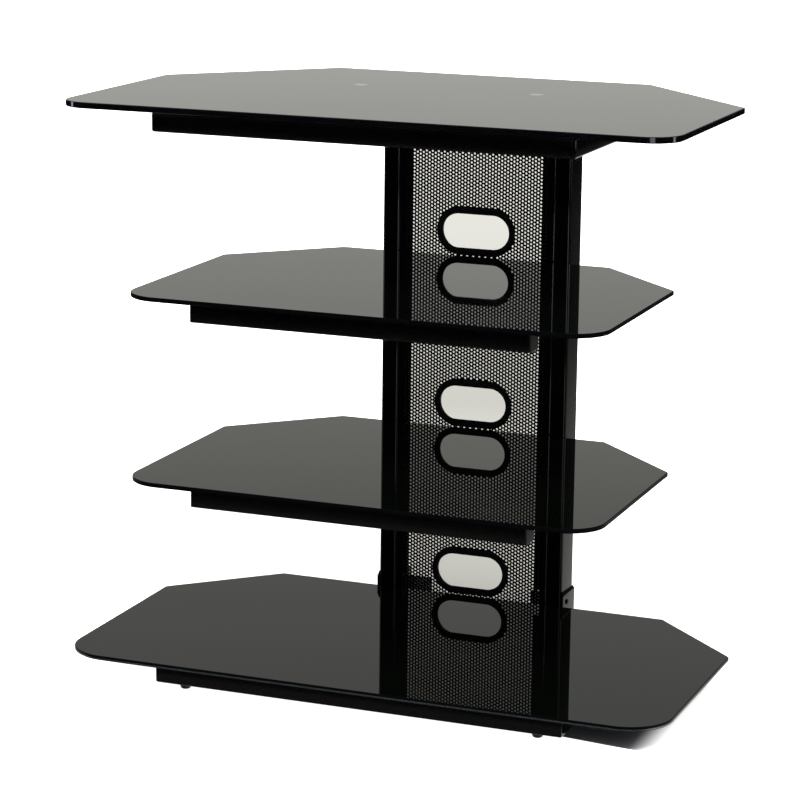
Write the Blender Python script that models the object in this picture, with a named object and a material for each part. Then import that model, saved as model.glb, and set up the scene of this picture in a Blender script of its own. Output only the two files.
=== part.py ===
"""Audio stand: four tempered glass shelves cantilevered from a two-post steel column.

Metres, +Z up, +X to the viewer's right, front towards -Y. The origin lies on the floor under
the middle of the stand. Run with: blender --background --python part.py
"""

from math import cos, pi, radians, sin, sqrt, tan

import bmesh
import bpy
from mathutils import Matrix, Vector

# Fits
SEAM = 0.0003                      # gap left between two pieces that touch
OVERRUN = 0.002                    # how far a cutter runs past the face that it cuts
SHARP_ANGLE = radians(35)

# Glass, seen in plan: rounded front corners, straight sides, rear corners cut off
TOP_GLASS_WIDTH = 0.800
TOP_GLASS_DEPTH = 0.505
TOP_GLASS_REAR_WIDTH = 0.445
TOP_GLASS_CORNER = 0.040
TOP_GLASS_THICKNESS = 0.008
SHELF_GLASS_WIDTH = 0.632
SHELF_GLASS_REAR_WIDTH = 0.382
SHELF_GLASS_CORNER = 0.050
SHELF_GLASS_THICKNESS = 0.006
BASE_GLASS_WIDTH = 0.812
BASE_GLASS_REAR_WIDTH = 0.560
BASE_GLASS_CORNER = 0.060
BASE_GLASS_THICKNESS = 0.006
GLASS_SIDE = 0.320                 # front edge to the corner where the side is cut back
GLASS_EASE = 0.004                 # radius of the four rear corners
GLASS_ARRIS = 0.0008               # chamfer ground along the top and bottom edges
GLASS_TO_POST = 0.001              # air between a glass's rear edge and the posts
CORNER_STEPS = 8
EASE_STEPS = 2

# Column
COLUMN_SETBACK = 0.446             # front edge of the glass to the front of the posts
POST_SPACING = 0.244               # between post centres
POST_WIDTH = 0.025
POST_DEPTH = 0.050
POST_WALL = 0.002
POST_CORNER = 0.004
POST_CORNER_STEPS = 3
SHELF_PITCH = 0.239                # from one glass top to the next

# Rails, crossbars and arms of the shelf frames
RAIL_WIDTH = 0.030
RAIL_HEIGHT = 0.025
RAIL_WALL = 0.0015
RAIL_CORNER = 0.003
RAIL_CORNER_STEPS = 2
RAIL_SETBACK = 0.020               # front edge of the glass to the front rail
FRAME_WIDTH = 0.552                # top and base frames
CROSSBAR_LENGTH = 0.450            # the two shelves between them
ARM_WIDTH = 0.025
ARM_END_PLATE = 0.006

# Plugs in the crossbar ends
PLUG_FACE = 0.002
PLUG_REACH = 0.010
PLUG_WALL = 0.0015

# Tape strips and bonded discs that the glass lies on
PAD_THICKNESS = 0.0009
DISC_RADIUS = 0.012
DISC_SETBACK = 0.330               # front edge of the glass to the disc's middle
DISC_SIDES = 16
BASE_DISC_INSET = 0.076            # side of the base frame to the disc's middle
STRIP_WIDTH = 0.012
STRIP_MARGIN = 0.025               # bare rail left at each end of a strip

# Perforated panel between the posts
PANEL_THICKNESS = 0.0012
PANEL_SETBACK = 0.003              # behind the front of the posts
PANEL_MARGIN = 0.0095              # plain border round the holes
PANEL_LIFT = 0.005                 # lower edge above the base rails' underside
HOLE_PITCH = 0.025                 # between neighbours in the 60 degree staggered pattern
HOLE_RADIUS = 0.0075
HOLE_SIDES = 6
PANEL_RAIL_LEG = 0.015
PANEL_RAIL_DEPTH = 0.020
PANEL_RAIL_THICKNESS = 0.002

# Oval grommets that cables pass through
GROMMET_WIDTH = 0.096
GROMMET_HEIGHT = 0.051
GROMMET_RISE = 0.034               # middle of the opening above the glass under it
GROMMET_LIP = 0.008
GROMMET_LIP_THICKNESS = 0.0017
GROMMET_ROUND = 0.0008
GROMMET_SLEEVE = 0.003
GROMMET_CATCH = 0.0012
GROMMET_TAIL = 0.0025
GROMMET_STEPS = 8

# Shoes at the feet of the posts
SHOE_WALL = 0.0025
SHOE_RISE = 0.018                  # above the base glass
SHOE_TAB_REACH = 0.035             # rear plate, inwards from the post
SHOE_TAB_RISE = 0.003              # above the base glass

# Bolts through the posts, and screws in the sides of the shoes
BOLT_RADIUS = 0.004
BOLT_HEAD_RADIUS = 0.0075
BOLT_HEAD_HEIGHT = 0.005
BOLT_SOCKET_RADIUS = 0.003
BOLT_SOCKET_DEPTH = 0.003
BOLT_CHAMFER = 0.0008
BOLT_REACH = 0.010                 # past the front of the post
BOLT_SIDES = 12
SCREW_RADIUS = 0.002
SCREW_HEAD_RADIUS = 0.0035
SCREW_HEAD_HEIGHT = 0.0018
SCREW_SOCKET_RADIUS = 0.0015
SCREW_SOCKET_DEPTH = 0.001
SCREW_CHAMFER = 0.0005
SCREW_LENGTH = 0.009
SCREW_SETBACK = 0.016              # behind the front of the post
SCREW_RISE = 0.003                 # above the base glass
SCREW_SIDES = 10
NUT_RADIUS = 0.0075                # across the corners of a welded nut
NUT_HEIGHT = 0.0065
NUT_SIDES = 6

# Levelling feet
FOOT_HEIGHT = 0.0075               # floor to the underside of the base rails
FOOT_RADIUS = 0.00725
FOOT_FLAT_RADIUS = 0.004
FOOT_DOME = 0.0045
FOOT_DOME_STEPS = 4
FOOT_INSET = 0.036                 # side of the base frame to the foot's axis
STUD_RADIUS = 0.003
STUD_LENGTH = 0.020
STUD_CHAMFER = 0.0006
FOOT_SIDES = 12
FOOT_NUT_RADIUS = 0.0055
FOOT_NUT_HEIGHT = 0.005

# Places along Y, worked out from the front edges of the glass, which line up
FRONT_Y = -TOP_GLASS_DEPTH / 2
RAIL_FRONT_Y = FRONT_Y + RAIL_SETBACK
POST_FRONT_Y = FRONT_Y + COLUMN_SETBACK
POST_MIDDLE_Y = POST_FRONT_Y + POST_DEPTH / 2
POST_REAR_Y = POST_FRONT_Y + POST_DEPTH
PANEL_FRONT_Y = POST_FRONT_Y + PANEL_SETBACK
PANEL_REAR_Y = PANEL_FRONT_Y + PANEL_THICKNESS
FRAME_REAR_Y = POST_FRONT_Y - SEAM
SHELF_GLASS_DEPTH = COLUMN_SETBACK - GLASS_TO_POST
DISC_Y = FRONT_Y + DISC_SETBACK

# Places along X
POST_X = POST_SPACING / 2
POST_INNER_X = POST_X - POST_WIDTH / 2
POST_OUTER_X = POST_X + POST_WIDTH / 2
FOOT_X = FRAME_WIDTH / 2 - FOOT_INSET
BASE_DISC_X = FRAME_WIDTH / 2 - BASE_DISC_INSET

# Levels
PAD_SPACE = PAD_THICKNESS + 2 * SEAM
BASE_TOP_Z = FOOT_HEIGHT + RAIL_HEIGHT + PAD_SPACE + BASE_GLASS_THICKNESS
LOWER_TOP_Z = BASE_TOP_Z + SHELF_PITCH
UPPER_TOP_Z = LOWER_TOP_Z + SHELF_PITCH
TOP_TOP_Z = UPPER_TOP_Z + SHELF_PITCH
COLUMN_TOP_Z = TOP_TOP_Z - TOP_GLASS_THICKNESS - PAD_SPACE
PANEL_BOTTOM_Z = FOOT_HEIGHT + PANEL_LIFT
SHOE_TOP_Z = BASE_TOP_Z + SHOE_RISE

SIDES = (("left", -1), ("right", 1))


def clear_scene():
    """Take away whatever objects the file starts with."""
    for obj in list(bpy.data.objects):
        bpy.data.objects.remove(obj)


def finish(name, colour, roughness, metallic=0.0):
    """A Principled material with a linear RGB colour."""
    material = bpy.data.materials.new(name)
    material.use_nodes = True
    shader = material.node_tree.nodes["Principled BSDF"]
    shader.inputs["Base Color"].default_value = (*colour, 1.0)
    shader.inputs["Roughness"].default_value = roughness
    shader.inputs["Metallic"].default_value = metallic
    return material


def group(name, z, parent=None):
    """An empty that carries the pieces of one assembly at height z."""
    empty = bpy.data.objects.new(name, None)
    bpy.context.collection.objects.link(empty)
    empty.parent = parent
    empty.location = (0, 0, z)
    return empty


def piece(name, bm, material, parent, location=(0, 0, 0)):
    """Turn a bmesh into a named, smooth shaded object under its assembly."""
    bmesh.ops.recalc_face_normals(bm, faces=bm.faces)
    mesh = bpy.data.meshes.new(name)
    bm.to_mesh(mesh)
    bm.free()
    mesh.materials.append(material)
    mesh.shade_smooth()
    mesh.set_sharp_from_angle(angle=SHARP_ANGLE)
    obj = bpy.data.objects.new(name, mesh)
    bpy.context.collection.objects.link(obj)
    obj.parent = parent
    obj.location = location
    return obj


def combine(obj, tool, operation):
    """Apply a Boolean with a tool object that shares obj's parent, then drop the tool."""
    modifier = obj.modifiers.new(operation, "BOOLEAN")
    modifier.operation = operation
    modifier.solver = "EXACT"
    modifier.object = tool
    evaluated = obj.evaluated_get(bpy.context.evaluated_depsgraph_get())
    mesh = bpy.data.meshes.new_from_object(evaluated)
    obj.modifiers.remove(modifier)
    obj.data = mesh
    obj.data.set_sharp_from_angle(angle=SHARP_ANGLE)
    bpy.data.objects.remove(tool)


def loft(rings, closed=False):
    """Join rings of equal point count. A closed loft meets itself, an open one is capped."""
    bm = bmesh.new()
    loops = [[bm.verts.new(point) for point in ring] for ring in rings]
    pairs = list(zip(loops, loops[1:]))
    if closed:
        pairs.append((loops[-1], loops[0]))
    else:
        bm.faces.new(loops[0])
        bm.faces.new(loops[-1])
    for one, two in pairs:
        for i, vert in enumerate(one):
            j = (i + 1) % len(one)
            bm.faces.new((vert, one[j], two[j], two[i]))
    return bm


def rounded_outline(corners):
    """Points round a convex outline whose corners are (x, y, radius, steps)."""
    points = []
    for i, (x, y, radius, steps) in enumerate(corners):
        here = Vector((x, y))
        before = (Vector(corners[i - 1][:2]) - here).normalized()
        after = (Vector(corners[(i + 1) % len(corners)][:2]) - here).normalized()
        half = before.angle(after) / 2
        middle = here + (before + after).normalized() * (radius / sin(half))
        start = here + before * (radius / tan(half)) - middle
        sweep = start.angle_signed(here + after * (radius / tan(half)) - middle)
        for step in range(steps + 1):
            points.append(middle + Matrix.Rotation(-sweep * step / steps, 2) @ start)
    return points


def rounded_rectangle(width, height, radius, steps):
    """A rectangle with round corners, centred on zero."""
    u, v = width / 2, height / 2
    spots = ((-u, -v), (u, -v), (u, v), (-u, v))
    return rounded_outline([(x, y, radius, steps) for x, y in spots])


def tube_sections(width, height, radius, wall, steps):
    """Outer and inner outlines of a rectangular tube."""
    outer = rounded_rectangle(width, height, radius, steps)
    inner = rounded_rectangle(width - 2 * wall, height - 2 * wall, radius - wall, steps)
    return outer, inner


def turned(stations, sides, axis):
    """A turned body whose stations are (distance along the axis, radius)."""
    turn = Vector((0, 0, 1)).rotation_difference(Vector(axis))
    rings = []
    for along, radius in stations:
        angles = [2 * pi * (i + 0.5) / sides for i in range(sides)]
        rings.append([turn @ Vector((radius * cos(a), radius * sin(a), along)) for a in angles])
    return loft(rings)


def box(low, high):
    """A plain block between two corners."""
    corners = ((low[0], low[1]), (high[0], low[1]), (high[0], high[1]), (low[0], high[1]))
    return loft([[(x, y, z) for x, y in corners] for z in (low[2], high[2])])


def drill(obj, spot, axis, radius, depth, sides):
    """Cut a round hole that starts at spot and runs depth along the axis."""
    stations = ((-OVERRUN, radius), (depth + OVERRUN, radius))
    cutter = piece("cutter", turned(stations, sides, axis), obj.data.materials[0], obj.parent, spot)
    combine(obj, cutter, "DIFFERENCE")


def weld_nut(obj, spot, axis, radius, height, bore, sides):
    """Weld a hexagon nut inside a wall, with its bore run through the wall at spot.

    The spot lies on the wall's outer face, and the axis points into the tube.
    """
    stations = ((RAIL_WALL / 2, radius), (RAIL_WALL + height, radius))
    nut = piece("nut", turned(stations, NUT_SIDES, axis), obj.data.materials[0], obj.parent, spot)
    combine(obj, nut, "UNION")
    drill(obj, spot, axis, bore, RAIL_WALL + height, sides)


def glass_pane(name, parent, width, depth, rear_width, corner, thickness, material):
    """A shelf glass whose underside lies at its assembly's pad level."""
    half, rear_half = width / 2, rear_width / 2
    side_y, rear_y = FRONT_Y + GLASS_SIDE, FRONT_Y + depth
    outline = rounded_outline((
        (-half, FRONT_Y, corner, CORNER_STEPS), (half, FRONT_Y, corner, CORNER_STEPS),
        (half, side_y, GLASS_EASE, EASE_STEPS), (rear_half, rear_y, GLASS_EASE, EASE_STEPS),
        (-rear_half, rear_y, GLASS_EASE, EASE_STEPS), (-half, side_y, GLASS_EASE, EASE_STEPS)))
    bm = loft([[(x, y, z) for x, y in outline] for z in (0, thickness)])
    rim = [edge for edge in bm.edges if edge.verts[0].co.z == edge.verts[1].co.z]
    bmesh.ops.bevel(bm, geom=rim, offset=GLASS_ARRIS, segments=1, affect="EDGES")
    return piece(name, bm, material, parent, (0, 0, RAIL_HEIGHT + PAD_SPACE))


def mitred_rail(name, parent, side, steel):
    """One of the four rails of a rectangular frame: front, rear, left or right."""
    half_width = FRAME_WIDTH / 2
    half_depth = (FRAME_REAR_Y - RAIL_FRONT_Y) / 2
    middle_y = (FRAME_REAR_Y + RAIL_FRONT_Y) / 2
    shift = SEAM / sqrt(2)
    outer, inner = tube_sections(RAIL_WIDTH, RAIL_HEIGHT, RAIL_CORNER, RAIL_WALL, RAIL_CORNER_STEPS)

    def ring(section, end):
        """The section at one end of the rail, cut at 45 degrees."""
        points = []
        for u, v in section:
            inset = u + RAIL_WIDTH / 2
            across, along = half_width - inset, half_depth - inset
            if side in ("front", "rear"):
                across -= shift
                spot = (end * across, along if side == "rear" else -along)
            else:
                along -= shift
                spot = (across if side == "right" else -across, end * along)
            points.append((*spot, v + RAIL_HEIGHT / 2))
        return points

    rings = (ring(outer, -1), ring(outer, 1), ring(inner, 1), ring(inner, -1))
    return piece(name, loft(rings, closed=True), steel, parent, (0, middle_y, 0))


def arm(name, parent, direction, rear_y, end_plate, steel):
    """A tube that runs back from the front rail, with a closed rear end if it has a plate."""
    outer, inner = tube_sections(ARM_WIDTH, RAIL_HEIGHT, RAIL_CORNER, RAIL_WALL, RAIL_CORNER_STEPS)
    front_y = RAIL_FRONT_Y + RAIL_WIDTH + SEAM
    length = rear_y - front_y

    def ring(section, y):
        """The section at one place along the arm."""
        return [(u, y, v) for u, v in section]

    rings = [ring(outer, length), ring(outer, 0), ring(inner, 0), ring(inner, length - end_plate)]
    bm = loft(rings, closed=not end_plate)
    return piece(name, bm, steel, parent, (direction * POST_X, front_y, RAIL_HEIGHT / 2))


def crossbar(name, parent, steel):
    """The open-ended tube under the front of a middle shelf."""
    outer, inner = tube_sections(RAIL_WIDTH, RAIL_HEIGHT, RAIL_CORNER, RAIL_WALL, RAIL_CORNER_STEPS)
    half = CROSSBAR_LENGTH / 2 - PLUG_FACE - SEAM
    rings = [[(x, u, v) for u, v in section]
             for section, x in ((outer, -half), (outer, half), (inner, half), (inner, -half))]
    spot = (0, RAIL_FRONT_Y + RAIL_WIDTH / 2, RAIL_HEIGHT / 2)
    return piece(name, loft(rings, closed=True), steel, parent, spot)


def end_plug(name, parent, direction, plastic):
    """A plastic plug: a face as large as the tube and a hollow spigot inside it."""
    bore = (RAIL_WIDTH - 2 * RAIL_WALL - 2 * SEAM, RAIL_HEIGHT - 2 * RAIL_WALL - 2 * SEAM)
    spigot_radius = RAIL_CORNER - RAIL_WALL
    face = rounded_rectangle(RAIL_WIDTH, RAIL_HEIGHT, RAIL_CORNER, RAIL_CORNER_STEPS)
    spigot = rounded_rectangle(*bore, spigot_radius, RAIL_CORNER_STEPS)
    hollow = rounded_rectangle(bore[0] - 2 * PLUG_WALL, bore[1] - 2 * PLUG_WALL,
                               spigot_radius - PLUG_WALL / 2, RAIL_CORNER_STEPS)
    stations = ((face, 0), (face, PLUG_FACE), (spigot, PLUG_FACE), (spigot, PLUG_REACH),
                (hollow, PLUG_REACH), (hollow, PLUG_FACE))
    bm = loft([[(-direction * depth, u, v) for u, v in section] for section, depth in stations])
    spot = (direction * CROSSBAR_LENGTH / 2, RAIL_FRONT_Y + RAIL_WIDTH / 2, RAIL_HEIGHT / 2)
    return piece(name, bm, plastic, parent, spot)


def front_strip(name, parent, rail_length, tape):
    """A strip of clear tape along the top of a front rail."""
    half = rail_length / 2 - STRIP_MARGIN
    front = (RAIL_WIDTH - STRIP_WIDTH) / 2
    bm = box((-half, front, 0), (half, front + STRIP_WIDTH, PAD_THICKNESS))
    return piece(name, bm, tape, parent, (0, RAIL_FRONT_Y, RAIL_HEIGHT + SEAM))


def disc(name, parent, x, y, tape):
    """A clear disc bonded between the glass and the tube under it."""
    bm = turned(((0, DISC_RADIUS), (PAD_THICKNESS, DISC_RADIUS)), DISC_SIDES, (0, 0, 1))
    return piece(name, bm, tape, parent, (x, y, RAIL_HEIGHT + SEAM))


def column_bolt(name, parent, direction, black_steel):
    """A socket head bolt from the back of a post into the frame in front of it."""
    reach = POST_DEPTH + SEAM + BOLT_REACH
    stations = (
        (-BOLT_HEAD_HEIGHT + BOLT_SOCKET_DEPTH, BOLT_SOCKET_RADIUS),
        (-BOLT_HEAD_HEIGHT, BOLT_SOCKET_RADIUS),
        (-BOLT_HEAD_HEIGHT, BOLT_HEAD_RADIUS - BOLT_CHAMFER),
        (-BOLT_HEAD_HEIGHT + BOLT_CHAMFER, BOLT_HEAD_RADIUS),
        (0, BOLT_HEAD_RADIUS), (0, BOLT_RADIUS),
        (reach - BOLT_CHAMFER, BOLT_RADIUS), (reach, BOLT_RADIUS - BOLT_CHAMFER))
    bm = turned(stations, BOLT_SIDES, (0, -1, 0))
    spot = (direction * POST_X, POST_REAR_Y + SEAM, RAIL_HEIGHT / 2)
    return piece(name, bm, black_steel, parent, spot)


def bolt_heights():
    """World heights of the three bolts in each post, lowest first."""
    shelf_drop = SHELF_GLASS_THICKNESS + PAD_SPACE + RAIL_HEIGHT / 2
    top_drop = TOP_GLASS_THICKNESS + PAD_SPACE + RAIL_HEIGHT / 2
    return (LOWER_TOP_Z - shelf_drop, UPPER_TOP_Z - shelf_drop, TOP_TOP_Z - top_drop)


def post(name, parent, direction, steel):
    """An open-ended rectangular tube, drilled for three bolts and a side screw."""
    outer, inner = tube_sections(POST_WIDTH, POST_DEPTH, POST_CORNER, POST_WALL, POST_CORNER_STEPS)
    bottom = FOOT_HEIGHT + SHOE_WALL + SEAM
    height = COLUMN_TOP_Z - bottom
    rings = [[(u, v, z) for u, v in section]
             for section, z in ((outer, 0), (outer, height), (inner, height), (inner, 0))]
    spot = (direction * POST_X, POST_MIDDLE_Y, bottom)
    obj = piece(name, loft(rings, closed=True), steel, parent, spot)
    for z in bolt_heights():
        rear = (direction * POST_X, POST_REAR_Y, z)
        drill(obj, rear, (0, -1, 0), BOLT_RADIUS + SEAM, POST_DEPTH, BOLT_SIDES)
    side = (direction * POST_OUTER_X, POST_FRONT_Y + SCREW_SETBACK, BASE_TOP_Z + SCREW_RISE)
    drill(obj, side, (-direction, 0, 0), SCREW_RADIUS + SEAM, POST_WALL, SCREW_SIDES)
    return obj


def shoe(name, parent, direction, steel):
    """The bracket that holds the foot of a post: floor, three walls and an inward tab."""
    rear_y = POST_REAR_Y + SEAM + SHOE_WALL
    outer_x = POST_OUTER_X + SEAM + SHOE_WALL
    inner_x = POST_INNER_X - SEAM - SHOE_WALL
    tab_x = POST_INNER_X - SHOE_TAB_REACH
    tab_z = BASE_TOP_Z + SHOE_TAB_RISE
    front_y = POST_FRONT_Y

    def block(low, high):
        """A block given on the right-hand side, mirrored for the left."""
        ends = sorted((direction * low[0], direction * high[0]))
        return piece("block", box((ends[0], *low[1:]), (ends[1], *high[1:])), steel, parent)

    obj = block((inner_x, front_y, FOOT_HEIGHT), (outer_x, rear_y, SHOE_TOP_Z))
    obj.name = name
    tab = block((tab_x, POST_REAR_Y + SEAM, FOOT_HEIGHT), (outer_x - SHOE_WALL, rear_y, tab_z))
    combine(obj, tab, "UNION")
    pocket = block((POST_INNER_X - SEAM, front_y - OVERRUN, FOOT_HEIGHT + SHOE_WALL),
                   (POST_OUTER_X + SEAM, POST_REAR_Y + SEAM, SHOE_TOP_Z + OVERRUN))
    combine(obj, pocket, "DIFFERENCE")
    panel_way = block((inner_x - OVERRUN, front_y - OVERRUN, FOOT_HEIGHT - OVERRUN),
                      (POST_INNER_X, PANEL_REAR_Y + SEAM, SHOE_TOP_Z + OVERRUN))
    combine(obj, panel_way, "DIFFERENCE")
    side = (direction * outer_x, POST_FRONT_Y + SCREW_SETBACK, BASE_TOP_Z + SCREW_RISE)
    drill(obj, side, (-direction, 0, 0), SCREW_RADIUS + SEAM, SHOE_WALL, SCREW_SIDES)
    return obj


def shoe_screw(name, parent, direction, black_steel):
    """A pan head screw through the shoe's outer wall into the post."""
    stations = (
        (-SCREW_HEAD_HEIGHT + SCREW_SOCKET_DEPTH, SCREW_SOCKET_RADIUS),
        (-SCREW_HEAD_HEIGHT, SCREW_SOCKET_RADIUS),
        (-SCREW_HEAD_HEIGHT, SCREW_HEAD_RADIUS - SCREW_CHAMFER),
        (-SCREW_HEAD_HEIGHT + SCREW_CHAMFER, SCREW_HEAD_RADIUS),
        (0, SCREW_HEAD_RADIUS), (0, SCREW_RADIUS),
        (SCREW_LENGTH - SCREW_CHAMFER, SCREW_RADIUS), (SCREW_LENGTH, SCREW_RADIUS - SCREW_CHAMFER))
    face_x = POST_OUTER_X + SEAM + SHOE_WALL + SEAM
    spot = (direction * face_x, POST_FRONT_Y + SCREW_SETBACK, BASE_TOP_Z + SCREW_RISE)
    return piece(name, turned(stations, SCREW_SIDES, (-direction, 0, 0)), black_steel, parent, spot)


def stadium(offset):
    """The grommet's opening, a rectangle with round ends, grown by an offset."""
    radius = GROMMET_HEIGHT / 2 + offset
    straight = (GROMMET_WIDTH - GROMMET_HEIGHT) / 2
    points = []
    for end in (1, -1):
        for step in range(GROMMET_STEPS + 1):
            angle = end * (-pi / 2 + pi * step / GROMMET_STEPS)
            points.append((end * (straight + radius * cos(angle)), radius * sin(angle)))
    return points


def grommet(name, parent, z, plastic):
    """A snap-in oval ring: a round-edged lip, a sleeve through the panel and a catch behind."""
    lip_back = GROMMET_LIP_THICKNESS
    catch = lip_back + SEAM + PANEL_THICKNESS + SEAM
    tail = catch + GROMMET_TAIL
    stations = (
        (0, GROMMET_ROUND), (GROMMET_ROUND, 0), (GROMMET_LIP - GROMMET_ROUND, 0),
        (GROMMET_LIP, GROMMET_ROUND), (GROMMET_LIP, lip_back), (GROMMET_SLEEVE, lip_back),
        (GROMMET_SLEEVE, catch), (GROMMET_SLEEVE + GROMMET_CATCH, catch),
        (GROMMET_SLEEVE, tail), (0, tail))
    rings = [[(x, depth, height) for x, height in stadium(offset)] for offset, depth in stations]
    spot = (0, PANEL_FRONT_Y - SEAM - GROMMET_LIP_THICKNESS, z)
    return piece(name, loft(rings, closed=True), plastic, parent, spot)


def hole_centres(half_width, bottom, top, keep_out):
    """Centres of the staggered holes that fit between the borders and clear the grommets."""
    column_step = HOLE_PITCH * cos(pi / 6)
    reach = half_width - PANEL_MARGIN - HOLE_RADIUS
    low, high = bottom + PANEL_MARGIN + HOLE_RADIUS, top - PANEL_MARGIN - HOLE_RADIUS
    columns = int(reach / column_step)
    rows = int((high - low) / HOLE_PITCH)
    start = (low + high - rows * HOLE_PITCH) / 2
    straight = (GROMMET_WIDTH - GROMMET_HEIGHT) / 2
    centres = []
    for column in range(-columns, columns + 1):
        stagger = HOLE_PITCH / 2 * (column % 2)
        for row in range(rows + 1):
            x, z = column * column_step, start + row * HOLE_PITCH + stagger
            away = [sqrt(max(abs(x) - straight, 0) ** 2 + (z - middle) ** 2) for middle in keep_out]
            clear = GROMMET_HEIGHT / 2 + GROMMET_LIP + HOLE_RADIUS
            if z <= high and min(away) > clear:
                centres.append((x, z))
    return centres


def back_panel(parent, steel):
    """The perforated sheet: one fill between its border, the oval holes and the round holes."""
    half = POST_INNER_X - SEAM
    height = COLUMN_TOP_Z - PANEL_BOTTOM_Z
    grommets = [z - PANEL_BOTTOM_Z for z in grommet_heights()]
    loops = [[(-half, 0), (half, 0), (half, height), (-half, height)]]
    for middle in grommets:
        loops.append([(x, middle + z) for x, z in stadium(GROMMET_SLEEVE + SEAM)])
    for x, z in hole_centres(half, 0, height, grommets):
        angles = [2 * pi * i / HOLE_SIDES for i in range(HOLE_SIDES)]
        loops.append([(x + HOLE_RADIUS * cos(a), z + HOLE_RADIUS * sin(a)) for a in angles])
    bm = bmesh.new()
    edges = []
    for loop in loops:
        verts = [bm.verts.new((x, 0, z)) for x, z in loop]
        edges += [bm.edges.new((verts[i - 1], verts[i])) for i in range(len(verts))]
    bmesh.ops.triangle_fill(bm, edges=edges, use_beauty=True, normal=(0, -1, 0))
    sheet = bmesh.ops.extrude_face_region(bm, geom=bm.faces[:], use_keep_orig=True)
    moved = [item for item in sheet["geom"] if isinstance(item, bmesh.types.BMVert)]
    bmesh.ops.translate(bm, verts=moved, vec=(0, PANEL_THICKNESS, 0))
    return piece("back_panel", bm, steel, parent, (0, PANEL_FRONT_Y, PANEL_BOTTOM_Z))


def panel_rail(name, parent, direction, steel):
    """An angle up the inside of a post, with one leg behind the edge of the panel."""
    leg, depth, wall = PANEL_RAIL_LEG, PANEL_RAIL_DEPTH, PANEL_RAIL_THICKNESS
    outline = ((0, 0), (0, depth), (-wall, depth), (-wall, wall), (-leg, wall), (-leg, 0))
    bottom = SHOE_TOP_Z + SEAM
    levels = (0, COLUMN_TOP_Z - bottom)
    bm = loft([[(direction * x, y, z) for x, y in outline] for z in levels])
    spot = (direction * (POST_INNER_X - SEAM), PANEL_REAR_Y + SEAM, bottom)
    return piece(name, bm, steel, parent, spot)


def grommet_heights():
    """World heights of the three cable openings, one above each lower glass."""
    return [z + GROMMET_RISE for z in (BASE_TOP_Z, LOWER_TOP_Z, UPPER_TOP_Z)]


def levelling_foot(name, parent, x, y, nylon):
    """A domed glide on a stud; the object's origin lies on the stud's axis, at the floor."""
    stations = [(0, FOOT_FLAT_RADIUS)]
    for step in range(1, FOOT_DOME_STEPS + 1):
        angle = pi / 2 * step / FOOT_DOME_STEPS
        grow = FOOT_RADIUS - FOOT_FLAT_RADIUS
        stations.append((FOOT_DOME * (1 - cos(angle)), FOOT_FLAT_RADIUS + grow * sin(angle)))
    body_top = FOOT_HEIGHT - SEAM
    stud_top = FOOT_HEIGHT + STUD_LENGTH
    stations += [(body_top, FOOT_RADIUS), (body_top, STUD_RADIUS),
                 (stud_top - STUD_CHAMFER, STUD_RADIUS), (stud_top, STUD_RADIUS - STUD_CHAMFER)]
    return piece(name, turned(stations, FOOT_SIDES, (0, 0, 1)), nylon, parent, (x, y, 0))


def build_column(stand, finishes):
    """Posts, shoes, panel, panel rails and grommets."""
    steel, plastic = finishes["steel"], finishes["plastic"]
    for side, direction in SIDES:
        post(f"{side}_post", stand, direction, steel)
        shoe(f"{side}_post_shoe", stand, direction, steel)
        shoe_screw(f"{side}_shoe_screw", stand, direction, finishes["fastener"])
        panel_rail(f"{side}_panel_rail", stand, direction, steel)
    back_panel(stand, finishes["mesh"])
    for level, z in zip(("lower", "middle", "upper"), grommet_heights()):
        grommet(f"{level}_cable_grommet", stand, z, plastic)


def build_pads(prefix, parent, rail_length, disc_x, disc_y, tape):
    """The tape strip and the two discs under one glass."""
    front_strip(f"{prefix}_front_strip", parent, rail_length, tape)
    for side, direction in SIDES:
        disc(f"{prefix}_{side}_disc", parent, direction * disc_x, disc_y, tape)


def build_top(stand, finishes):
    """The rectangular frame that the widest glass lies on, with two arms inside it."""
    steel = finishes["steel"]
    frame = group("top_frame", COLUMN_TOP_Z - RAIL_HEIGHT, stand)
    for side in ("front", "rear", "left", "right"):
        rail = mitred_rail(f"top_{side}_rail", frame, side, steel)
        if side == "rear":
            for _, direction in SIDES:
                spot = (direction * POST_X, FRAME_REAR_Y, RAIL_HEIGHT / 2)
                weld_nut(rail, spot, (0, -1, 0), NUT_RADIUS, NUT_HEIGHT, BOLT_RADIUS + SEAM, BOLT_SIDES)
    for side, direction in SIDES:
        arm(f"top_{side}_arm", frame, direction, FRAME_REAR_Y - RAIL_WIDTH - SEAM, 0, steel)
        column_bolt(f"top_{side}_bolt", frame, direction, finishes["fastener"])
    build_pads("top", frame, FRAME_WIDTH, POST_X, DISC_Y, finishes["tape"])
    glass_pane("top_glass", frame, TOP_GLASS_WIDTH, TOP_GLASS_DEPTH, TOP_GLASS_REAR_WIDTH,
               TOP_GLASS_CORNER, TOP_GLASS_THICKNESS, finishes["glass"])


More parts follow.
